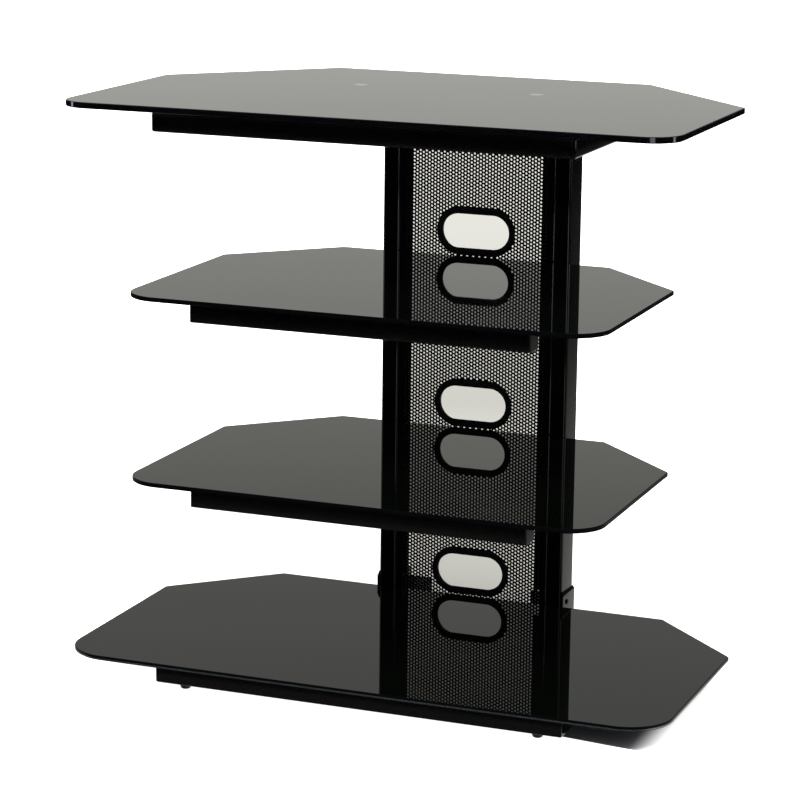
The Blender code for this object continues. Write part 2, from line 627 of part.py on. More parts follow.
def build_shelf(stand, level, top_z, finishes):
    """A middle shelf: crossbar, two arms bolted to the posts, and its glass."""
    steel = finishes["steel"]
    rail_z = top_z - SHELF_GLASS_THICKNESS - PAD_SPACE - RAIL_HEIGHT
    frame = group(f"{level}_frame", rail_z, stand)
    crossbar(f"{level}_crossbar", frame, steel)
    for side, direction in SIDES:
        name = f"{level}_{side}"
        end_plug(f"{name}_plug", frame, direction, finishes["plastic"])
        tube = arm(f"{name}_arm", frame, direction, FRAME_REAR_Y, ARM_END_PLATE, steel)
        spot = (direction * POST_X, FRAME_REAR_Y, RAIL_HEIGHT / 2)
        drill(tube, spot, (0, -1, 0), BOLT_RADIUS + SEAM, ARM_END_PLATE, BOLT_SIDES)
        column_bolt(f"{name}_bolt", frame, direction, finishes["fastener"])
    build_pads(level, frame, CROSSBAR_LENGTH, POST_X, DISC_Y, finishes["tape"])
    glass_pane(f"{level}_shelf_glass", frame, SHELF_GLASS_WIDTH, SHELF_GLASS_DEPTH,
               SHELF_GLASS_REAR_WIDTH, SHELF_GLASS_CORNER, SHELF_GLASS_THICKNESS, finishes["glass"])


def build_base(stand, finishes):
    """The floor frame with its glass and the four levelling feet."""
    frame = group("base_frame", FOOT_HEIGHT, stand)
    front_y = RAIL_FRONT_Y + RAIL_WIDTH / 2
    rear_y = FRAME_REAR_Y - RAIL_WIDTH / 2
    for side in ("front", "rear", "left", "right"):
        rail = mitred_rail(f"base_{side}_rail", frame, side, finishes["steel"])
        if side in ("front", "rear"):
            for _, direction in SIDES:
                spot = (direction * FOOT_X, front_y if side == "front" else rear_y, 0)
                weld_nut(rail, spot, (0, 0, 1), FOOT_NUT_RADIUS, FOOT_NUT_HEIGHT,
                         STUD_RADIUS + SEAM, FOOT_SIDES)
    build_pads("base", frame, FRAME_WIDTH, BASE_DISC_X, rear_y, finishes["tape"])
    glass_pane("base_glass", frame, BASE_GLASS_WIDTH, SHELF_GLASS_DEPTH, BASE_GLASS_REAR_WIDTH,
               BASE_GLASS_CORNER, BASE_GLASS_THICKNESS, finishes["glass"])
    for end, y in (("front", front_y), ("rear", rear_y)):
        for side, direction in SIDES:
            levelling_foot(f"{end}_{side}_foot", stand, direction * FOOT_X, y, finishes["nylon"])


def main():
    """Build the whole stand."""
    clear_scene()
    finishes = {
        "glass": finish("black_tempered_glass", (0.006, 0.007, 0.007), 0.02),
        "steel": finish("black_powder_coat", (0.008, 0.008, 0.009), 0.3),
        "mesh": finish("black_perforated_steel", (0.012, 0.012, 0.013), 0.35),
        "plastic": finish("black_plastic", (0.010, 0.010, 0.010), 0.4),
        "tape": finish("clear_tape", (0.75, 0.76, 0.75), 0.25),
        "fastener": finish("black_oxide_steel", (0.02, 0.02, 0.02), 0.35, metallic=1.0),
        "nylon": finish("black_nylon", (0.015, 0.015, 0.015), 0.5),
    }
    stand = group("audio_stand", 0)
    build_column(stand, finishes)
    build_top(stand, finishes)
    build_shelf(stand, "upper", UPPER_TOP_Z, finishes)
    build_shelf(stand, "lower", LOWER_TOP_Z, finishes)
    build_base(stand, finishes)


main()
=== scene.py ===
# %% [markdown]
# # A glass and steel audio stand, dressed for its portrait
#
# The CAD model of this stand is already built and packed, with every rail, bolt and shelf in its
# true place. This lesson puts the looks round that fixed frame: first a camera and soft studio
# light, then polished glass, powder-coated tube, perforated sheet and moulded rings. Each step says
# what the piece is on the real stand, how it could be made in Blender and why one way was chosen.

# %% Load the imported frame
from math import atan2, ceil, cos, pi, radians, sin, sqrt, tan

import bmesh
import bpy
from mathutils import Matrix, Vector


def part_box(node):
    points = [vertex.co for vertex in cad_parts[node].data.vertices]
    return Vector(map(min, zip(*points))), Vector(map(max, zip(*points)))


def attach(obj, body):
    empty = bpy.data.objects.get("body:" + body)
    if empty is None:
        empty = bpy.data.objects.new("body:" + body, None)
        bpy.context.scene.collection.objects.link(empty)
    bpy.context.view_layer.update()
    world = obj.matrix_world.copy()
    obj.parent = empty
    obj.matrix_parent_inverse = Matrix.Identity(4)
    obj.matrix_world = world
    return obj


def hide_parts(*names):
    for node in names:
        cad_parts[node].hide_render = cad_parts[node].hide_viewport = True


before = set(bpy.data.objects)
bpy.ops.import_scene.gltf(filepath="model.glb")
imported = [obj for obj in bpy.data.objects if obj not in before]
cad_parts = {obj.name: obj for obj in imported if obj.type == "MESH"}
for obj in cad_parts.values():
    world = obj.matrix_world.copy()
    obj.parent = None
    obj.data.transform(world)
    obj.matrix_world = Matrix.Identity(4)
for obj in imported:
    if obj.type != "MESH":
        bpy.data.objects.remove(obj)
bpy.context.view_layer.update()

# %% [markdown]
# ## The camera
#
# A long lens from a few metres away keeps the shelves' edges nearly parallel, as catalogue
# photographs do. Blender's own aim tools point a camera at an object, but here the angles of the
# photograph are known, so the camera's three axes are worked out from them and set as a matrix.

# %% Place the camera
TURN, LIFT, ROLL = radians(21.1354), radians(12.8805), radians(0.6716)
AIM = Vector((0.0661, -0.2525, 0.4182))
REACH = 3.5228                       # metres from the aim to the lens
SENSOR_MM, LENS_MM = 36, 130.56
SIGHT = 300                          # metres that the camera sees at most

ahead = -Vector((sin(TURN) * cos(LIFT), -cos(TURN) * cos(LIFT), sin(LIFT)))
level_right = ahead.cross(Vector((0, 0, 1))).normalized()
level_up = level_right.cross(ahead)
right = level_right * cos(ROLL) + level_up * sin(ROLL)
up = level_up * cos(ROLL) - level_right * sin(ROLL)

lens = bpy.data.cameras.new("portrait_lens")
lens.sensor_width, lens.lens, lens.clip_end = SENSOR_MM, LENS_MM, SIGHT
camera = bpy.data.objects.new("camera", lens)
bpy.context.collection.objects.link(camera)
axes = Matrix((right, up, -ahead)).transposed().to_4x4()
camera.matrix_world = Matrix.Translation(AIM - ahead * REACH) @ axes
bpy.context.scene.camera = camera
bpy.context.scene.view_settings.view_transform = "Standard"
print("camera stands at", [round(v, 3) for v in camera.matrix_world.translation])

# %% [markdown]
# ## Nodes and colours
#
# Every finish below is a small tree of nodes. Adding a node by hand takes one line to make it, one
# for each setting and one for each link, so one helper does all three and hands back an output of
# the new node, ready for the next link. Colours are written as the hex values of a paint chart, and
# one function turns them to the linear light that Blender mixes.

# %% Helpers for nodes and colours
SMOOTH = {"interpolation_type": "SMOOTHSTEP"}    # a range that starts and ends softly
COLOURS = {"data_type": "RGBA"}                  # a mix of colours, whose result is output 2


def linear(hex_colour):
    """An sRGB hex colour as linear red, green, blue and alpha."""
    shares = [int(hex_colour[i:i + 2], 16) / 255 for i in (1, 3, 5)]
    return [s / 12.92 if s <= 0.04045 else ((s + 0.055) / 1.055) ** 2.4 for s in shares] + [1]


def add_node(tree, kind, inputs=None, output=0, **settings):
    """Add a node, set its properties, link or fill its inputs, and return one of its outputs."""
    node = tree.nodes.new("ShaderNode" + kind)
    for name, value in settings.items():
        setattr(node, name, value)
    for socket, value in (inputs or {}).items():
        if isinstance(value, bpy.types.NodeSocket):
            tree.links.new(value, node.inputs[socket])
        else:
            node.inputs[socket].default_value = value
    return node.outputs[output] if len(node.outputs) else None


def set_stops(ramp, steps, tint):
    """Give a ramp stops of one tint, each a (position, level)."""
    stops = ramp.node.color_ramp.elements
    while len(stops) < len(steps):
        stops.new(0.5)
    for stop, (place, level) in zip(stops, steps):
        stop.position = place
    for stop, (place, level) in zip(stops, steps):
        stop.color = [level * share for share in tint] + [1]


def new_finish(name):
    """An empty material and its node tree."""
    finish = bpy.data.materials.new(name)
    finish.use_nodes = True
    finish.node_tree.nodes.clear()
    return finish, finish.node_tree


print("satin black in linear light:", [round(v, 4) for v in linear("#0A0A0A")])

# %% [markdown]
# ## The studio
#
# The stand is photographed on white. What a gloss black object shows is mostly its surroundings,
# so the studio matters more than the paint: glass at a grazing angle mirrors the wall behind it,
# which is brightest at the floor and darkens with height. Lamps and cards could build that wall,
# but a background painted by direction gives the same mirror image from every side, and no card
# stands in the way of another view.
#
# Below the horizon the photographer's side is dark, so the upright faces that look down at it stay
# black. Above it hang two black flags, the cards that keep light off, for what the glass mirrors
# of the posts. Three tall strip lights glint on the round corners.

# %% Measure directions
SKY = ((-90, 0.20), (-50, 0.35), (-30, 0.80), (-19, 1.0), (-17, 0.46), (-14.5, 0.31),
       (-12.8, 0.16), (-11.5, 0.06), (-9.2, 0.035), (-8, 0.008), (-3, 0.008), (-1.2, 0.90),
       (0, 0.90), (5, 0.72), (8, 0.61), (12, 0.495), (16, 0.345), (20, 0.30), (30, 0.26), (90, 0.26))
SKY_TINT = (0.995, 1.0, 0.935)
HORIZON = (-0.6, 1.1)                # elevations between which low rules give way to high ones
DARK_FROM, DARK_FULL = -0.10, -0.65  # how far forward a direction points, as its Y
FRONT_SHARE = (0.10, 0.11)           # light left in front: in general, and close to the base
CLOSE = (-18.0, -19.3)               # elevations between which the second takes over
FLAGS = ((29, 21), (-159, 12))       # azimuth from the back and half width, both in degrees
FLAG_DEPTH, FLAG_SOFT, FLAG_FOOT, FLAG_TOP = 0.92, 4.0, (-6, -4), (35, 50)
HIGH_FRONT = 0.45                    # light left in front above the horizon
# Tall strip lights: azimuth from the back, half width, both in degrees, and brightness
STRIPS = ((157, 8, 4.2), (76, 4.5, 6.0), (-102, 4.5, 5.5))
STRIP_TINT = (0.80, 0.82, 1.0)
STRIP_FOOT, STRIP_TOP = (-8.0, -7.7), (10.5, 18.0)      # elevations over which the ends fade
STRIP_SOFT = 1.5                     # degrees over which a strip fades at its sides
STRIP_REST = 0.15                    # share of its light above its top

world = bpy.data.worlds.new("studio")
bpy.context.scene.world = world
world.use_nodes = True
studio = world.node_tree
studio.nodes.clear()
look = add_node(studio, "TexCoord", output="Generated")
_, look_y, look_z = add_node(studio, "SeparateXYZ", {0: look}).node.outputs
heading = add_node(studio, "VectorMath", {0: look, 1: (1, 1, 0)}, operation="MULTIPLY")
heading = add_node(studio, "VectorMath", {0: heading}, operation="NORMALIZE")


def sector(azimuth, half, soft):
    """One within a range of azimuths, fading to nothing at its sides."""
    towards = (sin(radians(azimuth)), cos(radians(azimuth)), 0)
    along = add_node(studio, "VectorMath", {0: heading, 1: towards}, "Value",
                     operation="DOT_PRODUCT")
    return add_node(studio, "MapRange", {0: along, 1: cos(radians(half + soft)),
                                         2: cos(radians(half - soft))}, **SMOOTH)


def between_heights(low, high, start=0.0, end=1.0, way="SMOOTHSTEP"):
    """Start to end while the elevation rises from low to high."""
    return add_node(studio, "MapRange", {0: look_z, 1: sin(radians(low)), 2: sin(radians(high)),
                                         3: start, 4: end}, interpolation_type=way)


print("the background has", len(SKY), "steps of height,", len(FLAGS), "flags and", len(STRIPS),
      "strip lights")

# %% Paint the surroundings by direction
level = add_node(studio, "MapRange", {0: look_z, 1: -1.0, 2: 1.0})
sky = add_node(studio, "ValToRGB", {0: level})
set_stops(sky, [((sin(radians(degrees)) + 1) / 2, light) for degrees, light in SKY], SKY_TINT)
in_front = add_node(studio, "MapRange", {0: look_y, 1: DARK_FROM, 2: DARK_FULL}, **SMOOTH)
missing = between_heights(*CLOSE, FRONT_SHARE[0] - 1, FRONT_SHARE[1] - 1)
low_share = add_node(studio, "Math", {0: in_front, 1: missing, 2: 1.0}, operation="MULTIPLY_ADD")
high_share = add_node(studio, "Math", {0: in_front, 1: HIGH_FRONT - 1, 2: 1.0},
                      operation="MULTIPLY_ADD")
share = add_node(studio, "Mix", {0: between_heights(*HORIZON), 2: low_share, 3: high_share})
flagged = 0.0
for azimuth, half in FLAGS:
    flagged = add_node(studio, "Math", {0: flagged, 1: sector(azimuth, half, FLAG_SOFT)},
                       operation="ADD")
flag_height = add_node(studio, "Math", {0: between_heights(*FLAG_FOOT),
                                        1: between_heights(*FLAG_TOP, -FLAG_DEPTH, 0.0)},
                       operation="MULTIPLY")
unflagged = add_node(studio, "Math", {0: flagged, 1: flag_height, 2: 1.0},
                     operation="MULTIPLY_ADD")
share = add_node(studio, "Math", {0: share, 1: unflagged}, operation="MULTIPLY")
light = add_node(studio, "VectorMath", {0: sky, 1: share}, operation="MULTIPLY")
for azimuth, half, strength in STRIPS:
    foot = between_heights(*STRIP_FOOT, way="LINEAR")
    top = between_heights(*STRIP_TOP, strength, strength * STRIP_REST, "LINEAR")
    strip = add_node(studio, "Math", {0: foot, 1: top}, operation="MULTIPLY")
    strip = add_node(studio, "Math", {0: sector(azimuth, half, STRIP_SOFT), 1: strip},
                     operation="MULTIPLY")
    light = add_node(studio, "VectorMath", {0: strip, 1: STRIP_TINT, 2: light},
                     operation="MULTIPLY_ADD")
background = add_node(studio, "Background", {"Color": light, "Strength": 1.0})
add_node(studio, "OutputWorld", {"Surface": background})
print("nodes in the background:", len(studio.nodes))

# %% [markdown]
# ## Floor and key light
#
# The floor is a plain pale sweep that runs far past the frame, so that no horizon shows. It is a
# wide disc of matt paper over a light table, whose glow stops at the foot of the stand, so that the
# only shadow left in sight is the one beside the base frame, partly real and partly painted into the
# paper. A broad lamp overhead and a narrower one above the camera light the rest. Sun lamps are used
# because their light is even all over.
#
# Through the sheet's holes and the cable openings the eye meets the floor behind, which is greyer
# there than beside the column. So a painted shadow is toned into the paper, in a band that lies
# behind the column as the lens sees it, where the column's own soft shadow would fall. Rays that
# mirror off the stand pass the floor by, because the background holds what they should meet. Only a
# small sheet of the same paper under the base shows in reflections, dark with the shadow beside the
# base, which is partly real and partly painted.

# %% Paint a shadow band behind the column
# In slopes as the lens sees them: the band's middle, and where it fades
BAND_MIDDLE, BAND_FULL, BAND_END = 0.0280, 0.0255, 0.0345
BAND_FROM, BAND_TO = 3.9, 10.1               # metres from the lens
BAND_FOOT = (3.60, 3.70)                     # it starts between these, under the base
# How white the paper stays along the band of painted shadow
BAND = ((0.0, 0.89), (0.06, 0.315), (0.3, 0.315), (1.34, 0.193), (3.26, 0.240), (5.8, 0.264),
        (6.2, 0.89))                         # metres along the band, and how white it is
BAND_TINT = (1.0, 0.985, 0.91)

paper, tree = new_finish("matt_paper_with_painted_shadows_on_light_table")
place = add_node(tree, "TexCoord", output="Object")
place_x, place_y, _ = add_node(tree, "SeparateXYZ", {0: place}).node.outputs
viewpoint = camera.matrix_world.translation
beyond = add_node(tree, "VectorMath", {0: place, 1: (viewpoint.x, viewpoint.y, 0)},
                  operation="SUBTRACT")
distance = add_node(tree, "VectorMath", {0: beyond, 1: (-sin(TURN), cos(TURN), 0)}, "Value",
                    operation="DOT_PRODUCT")
aside = add_node(tree, "VectorMath", {0: beyond, 1: (cos(TURN), sin(TURN), 0)}, "Value",
                 operation="DOT_PRODUCT")
slope = add_node(tree, "Math", {0: aside, 1: distance}, operation="DIVIDE")
slope = add_node(tree, "Math", {0: slope, 1: BAND_MIDDLE}, operation="SUBTRACT")
slope = add_node(tree, "Math", {0: slope}, operation="ABSOLUTE")
# Where the painted shadow band lies
in_shadow_band = add_node(tree, "MapRange", {0: slope, 1: BAND_END, 2: BAND_FULL}, **SMOOTH)
past_foot = add_node(tree, "MapRange", {0: distance, 1: BAND_FOOT[0], 2: BAND_FOOT[1]}, **SMOOTH)
in_shadow_band = add_node(tree, "Math", {0: in_shadow_band, 1: past_foot}, operation="MULTIPLY")
band = add_node(tree, "MapRange", {0: distance, 1: BAND_FROM, 2: BAND_TO})
band = add_node(tree, "ValToRGB", {0: band})
set_stops(band, [(metres / (BAND_TO - BAND_FROM), light) for metres, light in BAND], BAND_TINT)
print("the band runs from", BAND_FROM, "to", BAND_TO, "m in front of the lens")

# %% Tone the shadow beside the base and light the table
# Where each side of the shadow fades, its front bent at one place
SHADOW_LEFT, SHADOW_RIGHT = (-0.290, -0.284), (0.405, 0.351)
SHADOW_FRONT, SHADOW_REAR = (-0.204, -0.202), (0.14, 0.04)
SHADOW_BEND, SHADOW_SLANT = 0.262, 0.128
# Inside the shadow the paper is painted grey, a painted shadow over the real one
WHITE, SHADOW_WHITE = "#F2F2F1", "#8A8A8E"
GLOW, GLOW_REAR = 1.1, (0.14, 0.10)          # the table's strength, and where it ends behind

front = add_node(tree, "Math", {0: place_x, 1: SHADOW_BEND}, operation="SUBTRACT")
front = add_node(tree, "Math", {0: front, 1: 0.0}, operation="MAXIMUM")
front = add_node(tree, "Math", {0: front, 1: SHADOW_SLANT, 2: place_y}, operation="MULTIPLY_ADD")
shadow = 1.0
for value, (none, full) in ((place_x, SHADOW_LEFT), (place_x, SHADOW_RIGHT),
                            (front, SHADOW_FRONT), (place_y, SHADOW_REAR)):
    inside = add_node(tree, "MapRange", {0: value, 1: none, 2: full}, **SMOOTH)
    shadow = add_node(tree, "Math", {0: shadow, 1: inside}, operation="MULTIPLY")
# Painted shadows in the paper's colour: first the one beside the base, then the band
tone = add_node(tree, "Mix", {0: shadow, 6: linear(WHITE), 7: linear(SHADOW_WHITE)}, 2, **COLOURS)
tone = add_node(tree, "Mix", {0: in_shadow_band, 6: tone, 7: band}, 2, **COLOURS)
matt = add_node(tree, "BsdfDiffuse", {"Color": tone})

glow = add_node(tree, "Math", {0: shadow, 1: in_shadow_band}, operation="MAXIMUM")
glow = add_node(tree, "Math", {0: 1.0, 1: glow}, operation="SUBTRACT")
strength = add_node(tree, "MapRange", {0: place_y, 1: GLOW_REAR[0], 2: GLOW_REAR[1], 4: GLOW},
                    **SMOOTH)
glow = add_node(tree, "Math", {0: strength, 1: glow}, operation="MULTIPLY")
table = add_node(tree, "Emission", {"Strength": glow})
both = add_node(tree, "AddShader", {0: matt, 1: table})
add_node(tree, "OutputMaterial", {"Surface": both})
paper.cycles.emission_sampling = "NONE"
print("nodes in the paper:", len(tree.nodes))

# %% Lay the floor and hang the lamps
FLOOR_RADIUS, FLOOR_SIDES, FLOOR_Z = 60.0, 96, -0.0005
PATCH_X, PATCH_FRONT, PATCH_REAR, PATCH_Z = 0.37, -0.198, 0.15, -0.0003
#           name,       strength, spread, height, and azimuth from the front towards the right
LAMPS = (("overhead_lamp", 6.0, 130, 90, 0),
         ("camera_lamp", 5.0, 12, 46, 21))


def lay_paper(name, outline, z):
    """A flat sheet of paper with this outline, as part of the stage."""
    mesh = bpy.data.meshes.new(name)
    mesh.from_pydata([(x, y, 0) for x, y in outline], [], [list(range(len(outline)))])
    mesh.materials.append(paper)
    sheet = bpy.data.objects.new(name, mesh)
    sheet.location.z = z
    bpy.context.collection.objects.link(sheet)
    return sheet


angles = [2 * pi * k / FLOOR_SIDES for k in range(FLOOR_SIDES)]
floor = lay_paper("floor", [(FLOOR_RADIUS * cos(a), FLOOR_RADIUS * sin(a)) for a in angles], FLOOR_Z)
floor.visible_glossy = False
lay_paper("floor_under_base", [(-PATCH_X, PATCH_FRONT), (PATCH_X, PATCH_FRONT),
                               (PATCH_X, PATCH_REAR), (-PATCH_X, PATCH_REAR)], PATCH_Z)
for name, strength, spread, elevation, azimuth in LAMPS:
    lamp = bpy.data.lights.new(name, "SUN")
    lamp.energy = strength
    lamp.angle = radians(spread)
    lamp_object = bpy.data.objects.new(name, lamp)
    lamp_object.rotation_euler = (radians(90 - elevation), 0, radians(azimuth))
    lamp_object.visible_glossy = False
    bpy.context.collection.objects.link(lamp_object)
print("floor radius", FLOOR_RADIUS, "m, lamps:", [row[0] for row in LAMPS])

# %% [markdown]
# ## Black tempered glass
#
# Each shelf is toughened float glass with a black back. Its face is a mirror: light enters with an
# index of 1.52, so it reflects a twentieth of what it meets head on and almost all of it at a
# grazing angle. Rolling and heating leave it a hair out of flat, which a very weak, very broad bump
# gives. Hands and dust leave the gloss slightly uneven, and a cloudy noise in the roughness gives
# that. In the top glass the two bonded discs under it glimmer through, so its colour is paler in
# two circles, set out in real metres from the glass's own coordinates.

# %% Glass face
INDEX_OF_GLASS = 1.52
WAVE_MM = 140        # distance between the rollers' faint waves
WAVE_DEPTH, WAVE_SHARE = 0.0004, 0.15    # their relief in metres, and how much of it shows
CLOUD_MM = 60        # size of the duller patches that handling leaves
CLOUD_DETAIL = 3.0
CLOUD_FROM, CLOUD_TO, CLOUD_GLOSS = 0.35, 0.75, (0.012, 0.035)   # the noise's span, and roughness
GLASS_DARK, GLASS_PALE = "#010201", "#030403"
DISC_EDGE, DISC_MIDDLE = 1.0, 0.48       # shares of a disc's radius between which its mark fades
DISC_COLOUR = "#535350"


def black_glass(name, disc_centres=(), disc_radius=0.0):
    """Gloss black glass, with pale discs that show through where some are bonded under it."""
    finish, tree = new_finish(name)
    place = add_node(tree, "TexCoord", output="Object")
    clouds = add_node(tree, "TexNoise", {"Vector": place, "Scale": 1000 / CLOUD_MM,
                                        "Detail": CLOUD_DETAIL})
    gloss = add_node(tree, "MapRange", {0: clouds, 1: CLOUD_FROM, 2: CLOUD_TO, 3: CLOUD_GLOSS[0],
                                        4: CLOUD_GLOSS[1]})
    waves = add_node(tree, "TexNoise", {"Vector": place, "Scale": 1000 / WAVE_MM, "Detail": 0.0})
    bump = add_node(tree, "Bump", {"Height": waves, "Strength": WAVE_SHARE,
                                    "Distance": WAVE_DEPTH})
    tone = add_node(tree, "Mix", {0: clouds, 6: linear(GLASS_DARK), 7: linear(GLASS_PALE)}, 2,
                    **COLOURS)
    flat_place = add_node(tree, "VectorMath", {0: place, 1: (1, 1, 0)}, operation="MULTIPLY")
    for centre in disc_centres:
        away = add_node(tree, "VectorMath", {0: flat_place, 1: centre}, "Value",
                        operation="DISTANCE")
        inside = add_node(tree, "MapRange", {0: away, 1: disc_radius * DISC_EDGE,
                                             2: disc_radius * DISC_MIDDLE}, **SMOOTH)
        tone = add_node(tree, "Mix", {0: inside, 6: tone, 7: linear(DISC_COLOUR)}, 2, **COLOURS)
    shader = add_node(tree, "BsdfPrincipled", {"Base Color": tone, "Roughness": gloss,
                                               "IOR": INDEX_OF_GLASS, "Normal": bump})
    add_node(tree, "OutputMaterial", {"Surface": shader})
    return finish


disc_low, disc_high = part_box("top_right_disc")
disc_middle = (disc_low + disc_high) / 2
disc_radius = (disc_high.x - disc_low.x) / 2
top_face = black_glass("black_tempered_glass_top",
                       [(side * disc_middle.x, disc_middle.y, 0) for side in (-1, 1)], disc_radius)
shelf_face = black_glass("black_tempered_glass")
print("bonded discs", round(2000 * disc_radius, 1), "mm across show through the top glass")

# %% [markdown]
# ## The edge of the glass
#
# The rim is cut, ground flat and polished, so it is glossy too, but it stands upright and mirrors
# the dark floor in front, and that draws each shelf with a black line. Along both of its corners
# runs the arris, a narrow chamfer polished in the same pass but never as finely. The back is
# printed with black ceramic ink, dull and faintly granular. Each of these is its own material on
# its own faces of the same pane.
#
# The lower panes' rims and arrises mirror less than the top one's, because they are shaded copies
# whose mirror is turned down, a painted shade; the shaded arris is painted darker as well. The base
# pane lies just over the bright floor, and the lower half of its rim is a lit copy, painted paler and
# given a high index for a stronger mirror: a painted highlight. One function makes them all, and most
# of the finishes after them: its noise of a real grain size leads colour, gloss and relief together.

# %% Rim, arris and printed back
GRIT_MM = 0.9        # the belt's marks are finer; drawn this coarse so that they show at all
PRINT_MM = 1.2       # mesh of the ink screen, drawn about twice its real size
STREAK_MM = 3.0      # height of the rim's faint polishing streaks, which are ten times as long
ALONG_RIM = (0.1, 0.1, 1)
RIM_GLOSS, ARRIS_GLOSS, POLISH_MM = (0.05, 0.10), (0.14, 0.24), 0.004    # roughness and relief
LIT_INDEX, SHADED = 2.3, 0.06        # a lit rim's index, and the specular level of a shaded one
GRAIN_FROM, GRAIN_TO = 0.3, 0.7      # the noise's own span, over which the roughness changes


def grained(name, dark, pale, grain_mm, roughness, depth_mm, index=1.5, stretch=(1, 1, 1),
            specular=0.5, detail=2.0, metallic=0.0, transmission=0.0):
    """A finish whose colour, gloss and relief all follow one noise of a real grain size.

    A colour that is the same all over is set on the shader itself.
    """
    finish, tree = new_finish(name)
    place = add_node(tree, "TexCoord", output="Object")
    drawn = add_node(tree, "Mapping", {"Vector": place, "Scale": stretch})
    noise = add_node(tree, "TexNoise",
                     {"Vector": drawn, "Scale": 1000 / grain_mm, "Detail": detail})
    tone = linear(dark)
    if pale != dark:
        tone = add_node(tree, "Mix", {0: noise, 6: tone, 7: linear(pale)}, 2, **COLOURS)
    gloss = add_node(tree, "MapRange", {0: noise, 1: GRAIN_FROM, 2: GRAIN_TO, 3: roughness[0],
                                        4: roughness[1]})
    surface = {"Base Color": tone, "Roughness": gloss, "IOR": index, "Metallic": metallic,
               "Specular IOR Level": specular, "Transmission Weight": transmission}
    if depth_mm:
        surface["Normal"] = add_node(tree, "Bump", {"Height": noise, "Strength": 1.0,
                                                    "Distance": depth_mm / 1000})
    add_node(tree, "OutputMaterial", {"Surface": add_node(tree, "BsdfPrincipled", surface)})
    return finish


def glass_rim(name, dark, pale, index, specular=0.5):
    """A polished rim, streaked along its length."""
    return grained(name, dark, pale, STREAK_MM, RIM_GLOSS, POLISH_MM, index, ALONG_RIM, specular)


rim = glass_rim("polished_glass_rim", "#010102", "#020303", INDEX_OF_GLASS)
# Shaded copies for the lower panes, their mirror turned down: a painted shade
shaded_rim = glass_rim("shaded_glass_rim", "#010102", "#020303", INDEX_OF_GLASS, SHADED)
# A lit copy for the lower half of the base pane's rim, painted paler with a stronger mirror: a
# painted highlight
lit_rim = glass_rim("lit_glass_rim", "#0A0F0F", "#0E1414", LIT_INDEX)
arris = grained("polished_glass_arris", "#020303", "#040606", GRIT_MM, ARRIS_GLOSS, POLISH_MM)
# The shaded arris is also painted darker than the arris: a painted shade
shaded_arris = grained("shaded_glass_arris", "#010202", "#020303", GRIT_MM, ARRIS_GLOSS, POLISH_MM,
                       specular=SHADED)
printed_back = grained("black_ceramic_print", "#080808", "#0E0E0E", PRINT_MM, (0.40, 0.52), 0.01)
# The finishes of a pane: face, upper and lower half of the rim, arris, back
TOP_FINISHES = (top_face, rim, rim, arris, printed_back)
SHELF_FINISHES = (shelf_face, shaded_rim, shaded_rim, shaded_arris, printed_back)
BASE_FINISHES = (shelf_face, shaded_rim, lit_rim, shaded_arris, printed_back)
print("glass finishes:", [finish.name for finish in BASE_FINISHES])

# %% [markdown]
# ## Coats, plastics and fasteners
#
# - Powder coat on the tube and sheet: a polyester film baked on steel. It levels to a satin gloss
#   with a fine orange peel, small waves one or two millimetres across.
# - Moulded plastic for the cable rings and the plugs: ABS from a mould with a fine spark texture.
# - Nylon for the feet: a little softer and duller than ABS, and slightly paler.
# - Clear acrylic foam tape for the pads, which lets most light through, milky where it is thick.
# - Black oxide on the bolts: a thin dark skin on real metal, so it stays metallic, with faint
#   marks of the die that formed the head.
#
# Orange peel, spark texture, bubbles and die marks are all one idea, a noise of a known size that
# leads relief and gloss together, so the same function serves them with different numbers.

# %% Coat, plastic, nylon, tape and blacked steel
PEEL_MM, SPARK_MM = 1.6, 0.5             # orange peel, and a mould's spark texture
WELD_MM, NYLON_MM, BUBBLE_MM, DIE_MM = 1.1, 0.7, 2.5, 0.8

powder_coat = grained("gloss_black_powder_coat", "#010101", "#020202", PEEL_MM, (0.07, 0.11), 0.0015)
sheet_coat = grained("powder_coated_sheet", "#010101", "#020202", PEEL_MM, (0.12, 0.18), 0.003)
weld_coat = grained("coated_weld", "#010101", "#020202", WELD_MM, (0.12, 0.18), 0.003, specular=0.2)
moulded_black = grained("moulded_black_abs", "#020203", "#040405", SPARK_MM, (0.42, 0.52), 0.005,
                        1.54, specular=0.15)
foot_nylon = grained("black_nylon", "#060607", "#0B0B0C", NYLON_MM, (0.36, 0.48), 0.010, 1.53)
clear_tape = grained("clear_acrylic_tape", "#D9DAD8", "#D9DAD8", BUBBLE_MM, (0.25, 0.45), 0.0, 1.48,
                     transmission=0.7)
black_oxide = grained("black_oxide_steel", "#1A1A1C", "#2C2C2F", DIE_MM, (0.30, 0.45), 0.01,
                      detail=3.0, metallic=1.0)
print("finishes made:", len(bpy.data.materials))

# %% [markdown]
# ## Skins over rows of rings
#
# Nearly everything here is a long shape with one outline: a pane is its plan raised by its
# thickness, a tube is a rounded rectangle drawn along its length, a cable ring is a small profile
# carried round an oval. Modifiers could do some of these, but a skin stretched over rows of points
# does all of them exactly, with clean quads and known sizes. A few helpers are enough: they round
# the corners of a flat outline with true arcs, move it inwards, set it across an axis, and skin a
# row of such rings.

# %% Round an outline and move it inwards
ARC_STEPS, FINE_STEPS, EDGE_STEPS = 6, 8, 4      # round a corner, one seen close, a broken edge


